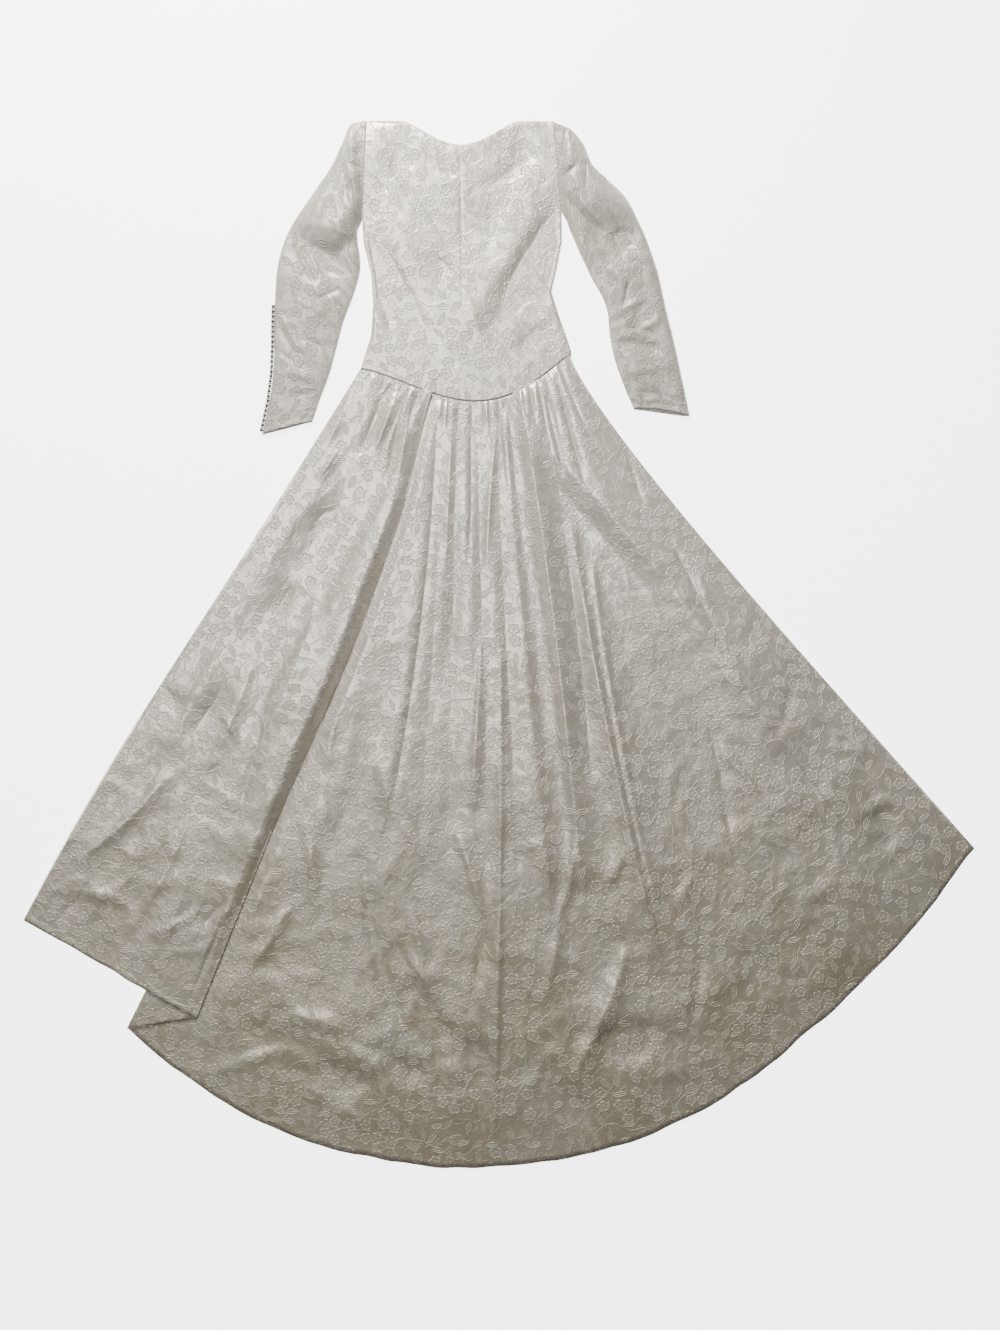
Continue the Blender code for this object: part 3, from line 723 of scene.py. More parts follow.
    def pattern(self, shader: Shader, place: Value) -> tuple[Value, Value]:
        """The whole woven pattern.

        Args:
            shader: The material's helper.
            place: Place on the cloth.

        Returns:
            Fill and outline of flowers, leaves, stems and scrolls.
        """
        scale, size = self.warp
        wander = {0: shader.cloth_noise(place, scale, 1.0)["Color"], 1: (size, size, 0.0), 2: place}
        place = shader.node("ShaderNodeVectorMath", {"operation": "MULTIPLY_ADD"}, wander)[0]
        bloom, bloom_rim = self.flowers(shader, place)
        leaf, leaf_rim = self.leaves(shader, place)
        scale, thin, wide = self.stem
        stem = abs(shader.cloth_noise(place, scale, 0.0)[0] - 0.5).below(thin, wide)
        scale, thin, wide = self.scroll
        scroll = abs(shader.cloth_noise(place, scale, 0.0)[0] - 0.47).below(thin, wide)
        lines = (stem * self.line_share[0]).most(scroll * self.line_share[1]) * (1.0 - leaf)
        free = 1.0 - bloom
        return bloom.most(leaf * free), bloom_rim.most(leaf_rim.most(lines) * free)

    def colour(self, shader: Shader, place: Value, fill: Value, rim: Value) -> Value:
        """Colour of the cloth: painted darker and yellower towards the hem as shade, with random yellower patches,
        light outlines there, and dark outlines near the neck that are painted shade.

        Args:
            shader: The material's helper.
            place: Place on the cloth.
            fill: Fill of the pattern.
            rim: Outline of the pattern.

        Returns:
            The colour.
        """
        where = shader.node("ShaderNodeTexCoord")["Object"]
        inputs = {"Vector": where, "Scale": 6.0, "Detail": 4.0, "Roughness": 0.6}
        age = shader.node("ShaderNodeTexNoise", {}, inputs)[0].step(0.38, 0.68)
        parts = shader.node("ShaderNodeSeparateXYZ", None, {0: where})
        # Painted shade: the lower the cloth lies, the more it is blended towards a darker, yellower colour,
        # standing in for the light that falls off away from the lamps at the neck.
        low = parts[1].below(*self.hem_shade_from)
        # Painted shade: towards the neck the figure's outlines and fill are blended to a darker colour, standing in
        # for the matt figure beside satin ground that mirrors the lamps there.
        near = (parts[1] - parts[0] * 0.30).step(*self.near_from)
        ground = shader.blend(age * (0.16 + low * 0.24) + low * 0.74, self.ground, self.aged_and_hem_shade)
        figure = shader.blend(low * 0.45, self.figure, self.aged_and_hem_shade)
        outline = shader.blend(near, figure, self.shaded)
        inner = shader.blend(near * 0.7 + 0.3, ground, self.shaded)
        filled = shader.blend(fill * (0.08 + near * 0.12), ground, inner)
        woven = shader.blend(rim * (0.46 - low * 0.16), filled, outline)
        tint = shader.cloth_noise(place, 17.0, 2.0)[0].step(0.42, 0.60)
        return shader.blend(tint, woven, self.rosy, "MULTIPLY")

    def make(self, name: str) -> bpy.types.Material:
        """Build the material.

        Args:
            name: Name of the material.

        Returns:
            The material.
        """
        shader = Shader(name)
        place = shader.node("ShaderNodeUVMap", {"uv_map": UV_NAME})[0]
        fill, rim = self.pattern(shader, place)
        shader.feed("Base Color", self.colour(shader, place, fill, rim))
        shader.feed("Roughness", self.rough + fill * self.rougher[0] + rim * self.rougher[1])
        shader.feed("Metallic", (1.0 - (fill * self.duller[0] + rim * self.duller[1])) * self.gloss)
        high = rim * self.relief + fill * (self.relief * self.fill_relief)
        for (scale, size), detail in zip(self.waves, (3.0, 2.0, 1.0)):
            high = high + shader.cloth_noise(place, scale, detail)[0] * size
        shader.bump(1.0, high)
        shader.feed("Sheen Weight", 0.25)
        shader.feed("Sheen Roughness", 0.5)
        shader.feed("Specular IOR Level", 0.9)
        return shader.material


@dataclass(frozen=True)
class CoveredSatin:
    """Matt satin over the buttons, with a fine thread. Its colours are painted near black: the satin is ivory, and
    the darkness is painted shade round the row of buttons.

    Attributes:
        colour: Its colour, painted dark as shade; the satin itself is ivory.
        shade: Its colour in darker patches.
    """

    colour: Colour = (0.125, 0.120, 0.110)
    shade: Colour = (0.090, 0.086, 0.078)

    def make(self, name: str) -> bpy.types.Material:
        """Build the material.

        Args:
            name: Name of the material.

        Returns:
            The material.
        """
        shader = Shader(name)
        where = shader.node("ShaderNodeTexCoord")["Object"]
        cloud = shader.node("ShaderNodeTexNoise", {}, {"Vector": where, "Scale": 90.0, "Detail": 3.0})[0]
        inputs = {"Vector": where, "Scale": 420.0, "Distortion": 1.5}
        thread = shader.node("ShaderNodeTexWave", {}, inputs)["Fac"]
        shader.feed("Base Color", shader.blend(cloud.step(0.35, 0.7), self.colour, self.shade))
        shader.feed("Roughness", 0.72 + cloud * 0.12)
        shader.feed("Specular IOR Level", 0.06)
        shader.bump(0.4, thread * 0.00008)
        return shader.material


@dataclass(frozen=True)
class PaleFloor:
    """Plain pale floor.

    Attributes:
        colour: Its colour.
        rough: Its roughness.
        glow: Strength of its own light, which keeps it white round the dress.
    """

    colour: Colour = (0.93, 0.93, 0.925)
    rough: float = 0.9
    glow: float = 4.0

    def make(self, name: str) -> bpy.types.Material:
        """Build the material.

        Args:
            name: Name of the material.

        Returns:
            The material.
        """
        shader = Shader(name)
        shader.feed("Base Color", (*self.colour, 1.0))
        shader.feed("Roughness", self.rough)
        shader.feed("Emission Color", (1.0, 1.0, 1.0, 1.0))
        shader.feed("Emission Strength", self.glow)
        return shader.material


# Meshes


def linked(name: str, mesh: bpy.types.Mesh) -> bpy.types.Object:
    """Put a mesh into the scene as a smooth object.

    Args:
        name: Name of the object.
        mesh: Its mesh.

    Returns:
        The object.
    """
    mesh.shade_smooth()
    made = bpy.data.objects.new(name, mesh)
    bpy.context.scene.collection.objects.link(made)
    return made


def sheet_object(name: str, points: Array, uv: Array, closed: bool = False) -> bpy.types.Object:
    """Cloth shell from a grid of points on its under surface.

    Args:
        name: Name of the piece.
        points: Rows by columns by three, from the lower left.
        uv: Rows by columns by two, in metres along the cloth.
        closed: Whether the first and last columns meet.

    Returns:
        The object, with its wall given by a modifier.
    """
    rows, columns = points.shape[:2]
    shape = bmesh.new()
    bmesh.ops.create_grid(shape, x_segments=columns - 1, y_segments=rows - 1, size=0.5)
    mesh = bpy.data.meshes.new(name)
    shape.to_mesh(mesh)
    flat = np.zeros(len(mesh.vertices) * 3, np.float32)
    mesh.vertices.foreach_get("co", flat)
    flat = flat.reshape(-1, 3)
    column = np.rint((flat[:, 0] + 0.5) * (columns - 1)).astype(int)
    row = np.rint((flat[:, 1] + 0.5) * (rows - 1)).astype(int)
    mesh.vertices.foreach_set("co", points[row, column].astype(np.float32).ravel())
    corner = np.zeros(len(mesh.loops), np.int32)
    mesh.loops.foreach_get("vertex_index", corner)
    layer = mesh.uv_layers.new(name=UV_NAME)
    layer.data.foreach_set("uv", uv[row[corner], column[corner]].astype(np.float32).ravel())
    mesh.update()
    if closed:
        shape.clear()
        shape.from_mesh(mesh)
        bmesh.ops.remove_doubles(shape, verts=shape.verts, dist=1e-6)
        shape.to_mesh(mesh)
    shape.free()
    made = linked(name, mesh)
    solid = made.modifiers.new("wall", "SOLIDIFY")
    solid.thickness = CLOTH_WALL
    solid.offset = 1.0
    return made


def finish(made: bpy.types.Object, look: bpy.types.Material, replaced: Sequence[str]) -> None:
    """Give a piece its material and body, and report it.

    Args:
        made: The piece.
        look: Its material.
        replaced: Nodes that it stands for.
    """
    made.data.materials.clear()
    made.data.materials.append(look)
    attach(made, ROOT)
    if replaced:
        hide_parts(*replaced)
    tallest = max(vertex.co.z for vertex in made.data.vertices)
    LOG.info("%s: %d faces, %.1f mm tall", made.name, len(made.data.polygons), tallest * MILLIMETRES)


# The lay of the dress


@dataclass(frozen=True)
class Lay:
    """Plan of the laid dress: seams, hems and what lies under the upper cloth.

    Attributes:
        cloth: Thickness of the cloth below.
        gap: Air between two layers that lie flat.
        rest: Height of the hidden front panels over the floor.
        waist_left: Left end of the waist seam.
        waist_right: Right end of the waist seam.
        waist_dip: How far the seam bows down.
        waist_skew: How far its lowest point is off the middle.
        waist_lift: How high the seam arches.
        waist_tuck: How far the skirt goes under the bodice's edge.
        hem_left: Left corner of the skirt.
        hem_right: Right corner of the train.
        train_centre: Centre of the round hem.
        train_radius: Its radius.
        train_start: Angle where it starts, at the fold.
        train_end: Angle where it runs out towards the right corner.
        train_length: Length of the whole hem of the train.
        corner_bow: Bow of the hem near the right corner.
        left_bow: Depth of the skirt's left side's bow, and the power that sets how high it is deepest.
        right_bow: The same for the right side.
        front_inset: How far the front stays inside the back at the sides.
        front_sag: How far the front hem bows down.
        past_front: Distances past the front hem where the back sinks to the floor.
        lap_share: Place of the large fold on the waist seam.
        lap_depth: Depth of the fold at the waist.
        lap_hem: Lower end of the fold's edge.
        lap_bow_depth: Sideways bow of the fold's edge.
        lap_swing: Its further swing in the upper half.
        lap_roll: Height of the fold's rolled shoulder.
        lap_flank: Width of the shoulder's steep flank where it is flat, and what it gains where it is tall.
        lap_back: Length of the shoulder's gentle back.
        lap_radius: Radii of the outer and the inner turn.
        lap_settle: Width over which the top layer sinks past the fold, at the waist and at the hem.
    """

    cloth: float = 0.0015
    gap: float = 0.0003
    rest: float = 0.0002
    waist_left: Pair = (-0.248, 0.499)
    waist_right: Pair = (0.130, 0.529)
    waist_dip: float = 0.075
    waist_skew: float = 1.27
    waist_lift: float = 0.003
    waist_tuck: float = 0.0004
    hem_left: Pair = (-0.855, -0.495)
    hem_right: Pair = (0.855, -0.365)
    train_centre: Pair = (-0.052, -0.061)
    train_radius: float = 0.880
    train_start: float = math.radians(-44.4)
    train_end: float = math.radians(45.0)
    train_length: float = 1.800
    corner_bow: float = 0.014
    left_bow: Pair = (0.0145, 2.0)
    right_bow: Pair = (0.039, 0.56)
    front_inset: float = 0.006
    front_sag: float = 0.200
    past_front: Pair = (0.115, 0.150)
    lap_share: float = 0.336
    lap_depth: float = 0.006
    lap_hem: Pair = (-0.545, -0.671)
    lap_bow_depth: float = 0.013
    lap_swing: float = 0.017
    lap_roll: float = 0.0165
    lap_flank: Pair = (0.009, 0.015)
    lap_back: float = 0.090
    lap_radius: Pair = (0.0004, 0.0020)
    lap_settle: Pair = (0.012, 0.070)

    @property
    def lowest(self) -> float:
        """Height of upper cloth that lies on the cloth below."""
        return self.cloth + self.gap

    @property
    def turned_lift(self) -> float:
        """Height of the fold's turned layer over the train."""
        return 2 * self.lap_radius[1]

    @property
    def top_lift(self) -> float:
        """Height of the fold's top layer over the train."""
        return self.turned_lift + 2 * self.lap_radius[0]

    def waist(self, share: Array) -> Array:
        """Plan of the waist seam.

        Args:
            share: Shares of its length from the left.

        Returns:
            Point at each share.
        """
        chord = mix(np.array(self.waist_left), np.array(self.waist_right), share[..., None])
        dip = self.waist_dip * np.sin(math.pi * share**self.waist_skew)
        return chord - np.stack((np.zeros_like(dip), dip), axis=-1)

    def waist_height(self, share: Array) -> Array:
        """Height of the upper cloth at the waist seam."""
        return self.lowest + self.waist_lift * np.sin(math.pi * share)

    def front_sides(self) -> Pair:
        """X of the front's lower corners."""
        return self.hem_left[0] + self.front_inset, self.hem_right[0] - self.front_inset

    def front_hem(self, x: Array) -> Array:
        """Y of the hidden front hem.

        Args:
            x: Places across the dress.

        Returns:
            Y at each place.
        """
        left, right = self.front_sides()
        low, high = self.hem_left[1] + self.front_inset, self.hem_right[1] + self.front_inset
        share = (x - left) / (right - left)
        return mix(low, high, share) - self.front_sag * 4 * share * (1 - share)

    def under(self, plan: Array) -> Array:
        """Height of what lies under the upper cloth."""
        past = self.front_hem(plan[..., 0]) - plan[..., 1]
        return self.lowest * (1 - ease(*self.past_front, past))

    def arc(self, angle: Array | float) -> Array:
        """Plan of the round hem at an angle from straight down."""
        turn = np.stack((np.sin(angle), -np.cos(angle)), axis=-1)
        return np.array(self.train_centre) + self.train_radius * turn

    def train_hem(self, metres: Array) -> Array:
        """Plan of the train's hem.

        Args:
            metres: Distances along it from the fold.

        Returns:
            Point at each distance.
        """
        angle = self.train_start + metres / self.train_radius
        arc, end = self.arc(np.minimum(angle, self.train_end)), self.arc(self.train_end)
        arc_length = (self.train_end - self.train_start) * self.train_radius
        share = np.clip((metres - arc_length) / (self.train_length - arc_length), 0.0, 1.0)
        run = np.array(self.hem_right) - end
        outwards = -square_to(run) * self.corner_bow
        straight = end + run * share[..., None] + outwards * np.sin(math.pi * share**0.8)[..., None]
        return np.where((angle <= self.train_end)[..., None], arc, straight)

    def side_bow(self, down: Array, left: Array | float, right: Array | float) -> Array:
        """Sideways shift towards the bowed sides of the skirt, by how near each side is."""
        bows = (self.left_bow, left), (self.right_bow, right)
        return -sum(depth * np.sin(math.pi * down**power) * near for (depth, power), near in bows)

    def lap_bow(self, down: Array) -> Array:
        """Sideways bow of the large fold."""
        upper = ease(0.02, 0.20, down) * (1 - ease(0.36, 0.72, down))
        return self.lap_bow_depth * np.sin(math.pi * down**0.8) + self.lap_swing * upper

    def lap_line(self, down: Array) -> Array:
        """Plan of the large fold's edge.

        Args:
            down: Shares of the way down.

        Returns:
            Point at each share.
        """
        start = self.waist(np.array(self.lap_share))
        line = mix(start, np.array(self.lap_hem), down[..., None])
        return line + np.stack((self.lap_bow(down), np.zeros_like(down)), axis=-1)

    def lap_right(self) -> Array:
        """Unit vector to the right of the large fold."""
        return square_to(np.array(self.lap_hem) - self.waist(np.array(self.lap_share)))

    def roll(self, down: Array) -> Array:
        """Share of its full height that the large fold's shoulder has on the way down."""
        return ease(0.02, 0.33, down) * (1 - ease(0.50, 0.88, down))

    def shoulder(self, down: Array, inwards: Array) -> Array:
        """Height of the large fold's rolled shoulder.

        Args:
            down: Shares of the way down.
            inwards: Distances in from the fold's edge.

        Returns:
            Height at each place.
        """
        width = self.lap_flank[0] + self.lap_flank[1] * self.roll(down)
        fall = 1 - ease(0.0, 1.0, (inwards - width) / self.lap_back)
        return self.lap_roll * self.roll(down) * quarter_round(inwards / width) * fall


# The skirt


@dataclass(frozen=True)
class Swell:
    """One broad, soft fold that runs down the skirt.

    Attributes:
        at: Share of the waist seam where it starts.
        start: Share of the length where it begins to rise.
        peak: Share of the length where it is tallest.
        end: Share of the length where it is gone.
        high: Its height.
        left: Reach to its left at the hem.
        right: Reach to its right at the hem.
    """

    at: float
    start: float
    peak: float
    end: float
    high: float
    left: float
    right: float

    def height(self, distance: Array, down: Array) -> Array:
        """Height that the fold gives.

        Args:
            distance: Distances to the right of its ridge.
            down: Shares of the way down.

        Returns:
            Height at each place.
        """
        reach = np.where(distance < 0, self.left, self.right) * (0.30 + 0.70 * down)
        rise = ease(self.start, self.peak, down) * (1 - ease(self.peak, self.end, down))
        return self.high * rise * bell(distance, reach)


SWELLS = (
    Swell(0.110, 0.01, 0.20, 0.78, 0.0052, 0.060, 0.085),
    Swell(0.205, 0.00, 0.06, 0.22, 0.007, 0.080, 0.080),
    Swell(0.250, 0.30, 0.62, 1.00, 0.006, 0.090, 0.070),
    Swell(0.392, 0.04, 0.30, 0.98, 0.009, 0.060, 0.090),
    Swell(0.440, 0.00, 0.25, 0.85, 0.007, 0.045, 0.045),
    Swell(0.505, 0.00, 0.18, 0.75, 0.010, 0.050, 0.040),
    Swell(0.585, 0.00, 0.22, 0.90, 0.009, 0.040, 0.045),
    Swell(0.665, 0.02, 0.35, 0.95, 0.012, 0.065, 0.022),
    Swell(0.760, 0.00, 0.12, 0.55, 0.008, 0.050, 0.060),
    Swell(0.857, 0.04, 0.55, 1.00, 0.010, 0.040, 0.055),
    Swell(0.905, 0.00, 0.15, 0.50, 0.010, 0.090, 0.070),
    Swell(0.940, 0.20, 0.55, 1.00, 0.006, 0.070, 0.090),
)


@dataclass
class Skirt:
    """Gathered back skirt with its train and large fold, and the plain front.

    Attributes:
        lay: Plan of the dress.
        gathers: Number of gathers along the waist.
        gather_high: Height of a gather.
        loft: Air under the upper cloth.
        swell_share: How much of each broad fold is kept under the creases.
        lap_meet: How high the train rises beside the fold.
        fan: Point above the waist that the long creases run out from.
        seam_climb: Shares of the way down where the cloth leaves the waist seam's height.
        hem_band: Height over the hem where the cloth begins to settle.
        hem_settle: Share of its height that it loses there.
        hem_groove: Depth of the groove over the turned hem, its height over the hem and its width.
        gore_grid: Columns and rows of the left layer.
        train_grid: Columns and rows of the train.
        left_waist: Waist shares of the left layer's marks.
        left_hem: Shares of the left layer's hem at those marks.
        train_waist: Waist shares of the train's marks.
        train_metres: Distances along the train's hem at those marks.
    """

    lay: Lay
    gathers: int = 22
    gather_high: float = 0.0076
    loft: float = 0.0045
    swell_share: float = 0.66
    lap_meet: float = 0.0042
    fan: Pair = (-0.05, 0.75)
    seam_climb: Pair = (0.0027, 0.015)
    hem_band: float = 0.16
    hem_settle: float = 0.80
    hem_groove: tuple[float, float, float] = (0.00028, 0.016, 0.0045)
    gore_grid: tuple[int, int] = (150, 236)
    train_grid: tuple[int, int] = (300, 158)
    left_waist: tuple[float, ...] = (0.0, 0.110, 0.336)
    left_hem: tuple[float, ...] = (0.0, 0.065, 1.0)
    train_waist: tuple[float, ...] = (0.322, 0.380, 0.476, 0.709, 0.857, 1.0)
    train_metres: tuple[float, ...] = (0.002, 0.440, 0.655, 0.915, 1.110, 1.800)

    @staticmethod
    def spread(waist: Sequence[float], hem: Sequence[float], columns: int) -> tuple[Array, Array]:
        """Columns that are even at the waist and at the hem together.

        Args:
            waist: Waist shares of the marks.
            hem: Places of the marks on the hem.
            columns: Number of columns.

        Returns:
            Waist share and hem place of each column.
        """
        fine = np.linspace(waist[0], waist[-1], 4001)
        place = np.interp(fine, waist, hem)
        measure = 0.45 * (fine - waist[0]) / (waist[-1] - waist[0]) + 0.55 * (place - hem[0]) / (hem[-1] - hem[0])
        shares = np.interp(np.linspace(0, 1, columns), measure, fine)
        return shares, np.interp(shares, waist, hem)

    @staticmethod
    def downs(rows: int) -> Array:
        """Shares of the way down for the rows, from the hem up to the waist."""
        step = np.linspace(0.0, 1.0, rows)
        return (0.78 * step + 0.22 * step**2)[::-1]

    def swell(self, layer: Layer, plan: Array, down: Array) -> Array:
        """Height of the broad folds.

        Args:
            layer: Sheet that they lie in.
            plan: Points in plan.
            down: Shares of the way down.

        Returns:
            Height at each point.
        """
        lay, tallest = self.lay, np.zeros(plan.shape[:-1])
        for fold in SWELLS:
            if (fold.at < lay.lap_share) != (layer is Layer.TOP):
                continue
            ridge_waist = lay.waist(np.array(fold.at))
            if layer is Layer.TOP:
                share = np.interp(fold.at, self.left_waist, self.left_hem)
                ridge_hem = mix(np.array(lay.hem_left), np.array(lay.lap_hem), share)
            else:
                ridge_hem = lay.train_hem(np.interp(fold.at, self.train_waist, self.train_metres))
            ridge = mix(ridge_waist, ridge_hem, down[..., None])
            distance = (plan - ridge) @ square_to(ridge_hem - ridge_waist)
            tallest = np.maximum(tallest, fold.height(distance, down))
        return tallest * self.swell_share

    def gather(self, share: Array, down: Array) -> Array:
        """Height of the uneven gathers under the waist seam.

        Args:
            share: Waist shares.
            down: Shares of the way down.

        Returns:
            Height at each place.
        """
        phase = share * self.gathers + 0.34 * np.sin(share * 31.0) + 0.13 * np.sin(share * 73.0 + 1.0)
        number = np.rint(phase).astype(int) + 2
        heights = 0.30 + 0.70 * np.random.default_rng(11).random(self.gathers + 6)
        lengths = 0.045 + 0.20 * np.random.default_rng(12).random(self.gathers + 6) ** 5.0
        away = np.abs(phase - np.rint(phase))
        ridge = (1 - (2 * away) ** 2) ** (0.6 + 7.0 * down)
        fade = ease(0.0024, 0.015, down) * (1 - ease(0.15, 1.0, down / lengths[number]))
        return self.gather_high * heights[number] * ridge * fade

    def crumple(self, plan: Array, down: Array) -> Array:
        """Small uneven creases, which grow towards the hem.

        Args:
            plan: Points in plan.
            down: Shares of the way down.

        Returns:
            Height at each point.
        """
        x, y = plan[..., 0], plan[..., 1]
        angle = np.arctan2(x - self.fan[0], self.fan[1] - y)
        radius = np.hypot(x - self.fan[0], y - self.fan[1])
        wander = 0.5 * perlin(angle * 5.0, radius * 3.0, 26)
        long = perlin(angle * 6.5 + wander, radius * 2.6 + 5.0, 21) * 0.0046
        long = long + ridges(angle * 6.5 + 3.0, radius * 4.2, 22) * 0.0028 * (0.4 + 0.6 * down)
        cross = ridges(x / 0.085 + 0.3 * perlin(x / 0.12, y / 0.12, 5), y / 0.085, 23) * 0.0026
        cross = cross * (0.25 + 0.75 * np.maximum(ease(0.05, 0.75, x), ease(0.55, 1.0, down)))
        fine = perlin(x / 0.026, y / 0.026, 24) * 0.0005
        fine = fine + perlin(x / 0.060, y / 0.060, 25) * 0.0012 * ease(0.15, 0.6, down)
        return long + cross * ease(0.12, 0.45, down) + fine

    def edge(self, share: Array, down: Array) -> Array:
        """0 at the side seams and 1 away from them."""
        left, right = share * mix(0.378, 3.0, down), (1 - share) * mix(0.378, 3.6, down)
        return quarter_round(np.minimum(left, right) / 0.045)

    def hem_wave(self, metres: Array, hem: Array, hold: Array) -> Array:
        """Hem points with the cut's small waves.

        Args:
            metres: Distances along the hem.
            hem: Plan of the hem points.
            hold: Share of the waves at each point.

        Returns:
            Plan of the waved points.
        """
        outwards = hem - np.array(self.fan)
        outwards = outwards / np.hypot(*outwards.T)[:, None]
        level = np.full_like(metres, 0.5)
        wave = 0.0034 * perlin(metres / 0.110, level, 51) + 0.0018 * perlin(metres / 0.042, level, 52)
        return hem + outwards * (wave * hold)[:, None]

    def layer_plan(self, layer: Layer, share: Array, hem: Array, down: Array) -> Array:
        """Plan of the top layer or the train.

        Args:
            layer: Which of the two it is.
            share: Waist share of each point.
            hem: Plan of each column's hem point.
            down: Share of the way down of each point.

        Returns:
            Rows by columns by two.
        """
        lay = self.lay
        plan = mix(lay.waist(share), hem[None, :, :], down[..., None])
        if layer is Layer.TOP:
            plan[..., 0] += lay.side_bow(down, (1 - share / lay.lap_share) ** 2, 0.0)
            plan[..., 0] += lay.lap_bow(down) * (share / lay.lap_share) ** 3
        else:
            plan[..., 0] += lay.side_bow(down, 0.0, np.maximum((share - 0.857) / 0.143, 0.0) ** 1.5)
            plan[..., 0] += lay.lap_bow(down) * (1 - ease(0.322, 0.440, share))
        return plan

    def over_lap(self, down: Array, inwards: Array) -> tuple[Array, Array]:
        """The top layer beside the large fold.

        Args:
            down: Shares of the way down.
            inwards: Distances in from the fold's edge.

        Returns:
            Its height over the train, and how much of the creases shows.
        """
        lay = self.lay
        inner = lay.train_hem(np.array(0.0))
        depth = mix(lay.lap_depth, float(np.hypot(*(np.array(lay.lap_hem) - inner))), down) + 0.003
        sink = ease(0.0, 1.0, (inwards - depth) / mix(*lay.lap_settle, down))
        return lay.top_lift * (1 - sink) + lay.shoulder(down, inwards), ease(0.0, 0.022, inwards)

    def beside_lap(self, down: Array, outwards: Array) -> tuple[Array, Array]:
        """The train beside the large fold.

        Args:
            down: Shares of the way down.
            outwards: Distances out from the fold's edge.

        Returns:
            Its height, and how much of the creases shows.
        """
        height = self.lap_meet * ease(0.004, 0.020, down) * (1 - ease(0.58, 0.80, down))
        height = height * ease(0.0012, 0.0050, outwards) * (1 - ease(0.02, 0.11, outwards))
        return height, ease(0.004, 0.026, outwards)

    def surface(self, layer: Layer, share: Array, hem: Array, down: Array) -> Array:
        """Points of the top layer or the train.

        Args:
            layer: Which of the two it is.
            share: Waist share of each column.
            hem: Plan of each column's hem point.
            down: Share of the way down of each row.

        Returns:
            Rows by columns by three.
        """
        lay = self.lay
        share, down = np.meshgrid(share, down)
        plan = self.layer_plan(layer, share, hem, down)
        base = mix(lay.waist_height(share), lay.under(plan), ease(*self.seam_climb, down))
        from_lap = (plan - lay.lap_line(down)) @ lay.lap_right()
        if layer is Layer.TOP:
            height, clear = self.over_lap(down, -from_lap)
            creases = crease_height(GORE_CREASES, plan)
        else:
            height, clear = self.beside_lap(down, from_lap)
            creases = crease_height(TRAIN_CREASES, plan)
        over_hem = (1 - down) * np.hypot(*(hem - lay.waist(share[0])).T)[None, :]
        raised = self.loft * ease(0.003, 0.05, down) + self.swell(layer, plan, down) + self.gather(share, down)
        raised = raised + creases + self.crumple(plan, down) * ease(0.02, 0.16, down)
        settled = 1 - self.hem_settle * ease(0.0, 1.0, (self.hem_band - over_hem) / self.hem_band)
        raised = np.maximum(raised, 0.0) * self.edge(share, down) * settled
        depth, place, width = self.hem_groove
        groove = depth * bell(over_hem - place, width) * (down > 0.5)
        plan[..., 1] -= lay.waist_tuck * (1 - down)
        return with_height(plan, base + np.maximum(height + raised * clear - groove, 0.0))

    def lap_column(self, down: Array, back: float, outwards: float, height: float, last: bool) -> Array:
        """One column of the fold's turns.

        Args:
            down: Shares of the way down.
            back: Share of the way from the fold's edge to the inner turn.
            outwards: Distance to the right of that.
            height: Height over what lies below.
            last: Whether it is the column that joins the train.

        Returns:
            Points down the column.
        """
        lay = self.lay
        run = np.subtract(lay.waist_right, lay.waist_left)
        share = lay.lap_share + (outwards - back * lay.lap_depth) / math.hypot(*run)
        hem = mix(np.array(lay.lap_hem), lay.train_hem(np.array(0.0)), back) + lay.lap_right() * outwards
        if last:
            share, hem = self.train_waist[0], lay.train_hem(np.array(self.train_metres[0]))
        line = mix(lay.waist(np.array(share)), hem, down[:, None])
        line[:, 0] += lay.lap_bow(down)
        line[:, 1] -= lay.waist_tuck * (1 - down)
        base = mix(lay.waist_height(np.array(share)), lay.under(line), ease(*self.seam_climb, down))
        return with_height(line, base + height)

    def lap_points(self, down: Array) -> Array:
        """Points of the outer turn, the turned layer and the inner turn.

        Args:
            down: Shares of the way down.

        Returns:
            Rows by columns by three.
        """
        lay = self.lay
        turned, rise = lay.turned_lift, lay.top_lift - lay.turned_lift
        bulge = lay.lap_radius[0] + 0.35 * rise / 2 * ease(0.02, 0.15, down)
        columns = []
        for angle in np.radians(np.linspace(0, 180, 12)[1:]):
            height = turned + rise * (1 + math.cos(angle)) / 2
            columns.append(self.lap_column(down, 0.0, 0.0, height, False))
            columns[-1][:, :2] += lay.lap_right() * (bulge * math.sin(angle))[:, None]
        for back in np.linspace(0, 1, 8)[1:-1]:
            columns.append(self.lap_column(down, back, 0.0, turned, False))
        angles = np.radians(np.linspace(0, 180, 7))
        for angle in angles:
            outwards, height = -lay.lap_radius[1] * math.sin(angle), turned * (1 + math.cos(angle)) / 2
            columns.append(self.lap_column(down, 1.0, outwards, height, angle == angles[-1]))
        return np.stack(columns, axis=1)

    @staticmethod
    def cloth_uv(points: Array, turn: float, origin: Pair) -> Array:
        """Pattern coordinates of a panel: its plan, turned to the panel's grain."""
        x, y = points[..., 0] - origin[0], points[..., 1] - origin[1]
        return np.stack((x * math.cos(turn) - y * math.sin(turn), x * math.sin(turn) + y * math.cos(turn)), axis=-1)

    def build_train(self) -> bpy.types.Object:
        """Build the train.

        Returns:
            The piece.
        """
        share, metres = self.spread(self.train_waist, self.train_metres, self.train_grid[0])
        hem = self.hem_wave(metres, self.lay.train_hem(metres), ease(0.02, 0.12, metres))
        points = self.surface(Layer.TRAIN, share, hem, self.downs(self.train_grid[1]))
        return sheet_object("skirt_train", points, self.cloth_uv(points, 0.10, (3.0, 2.0)))

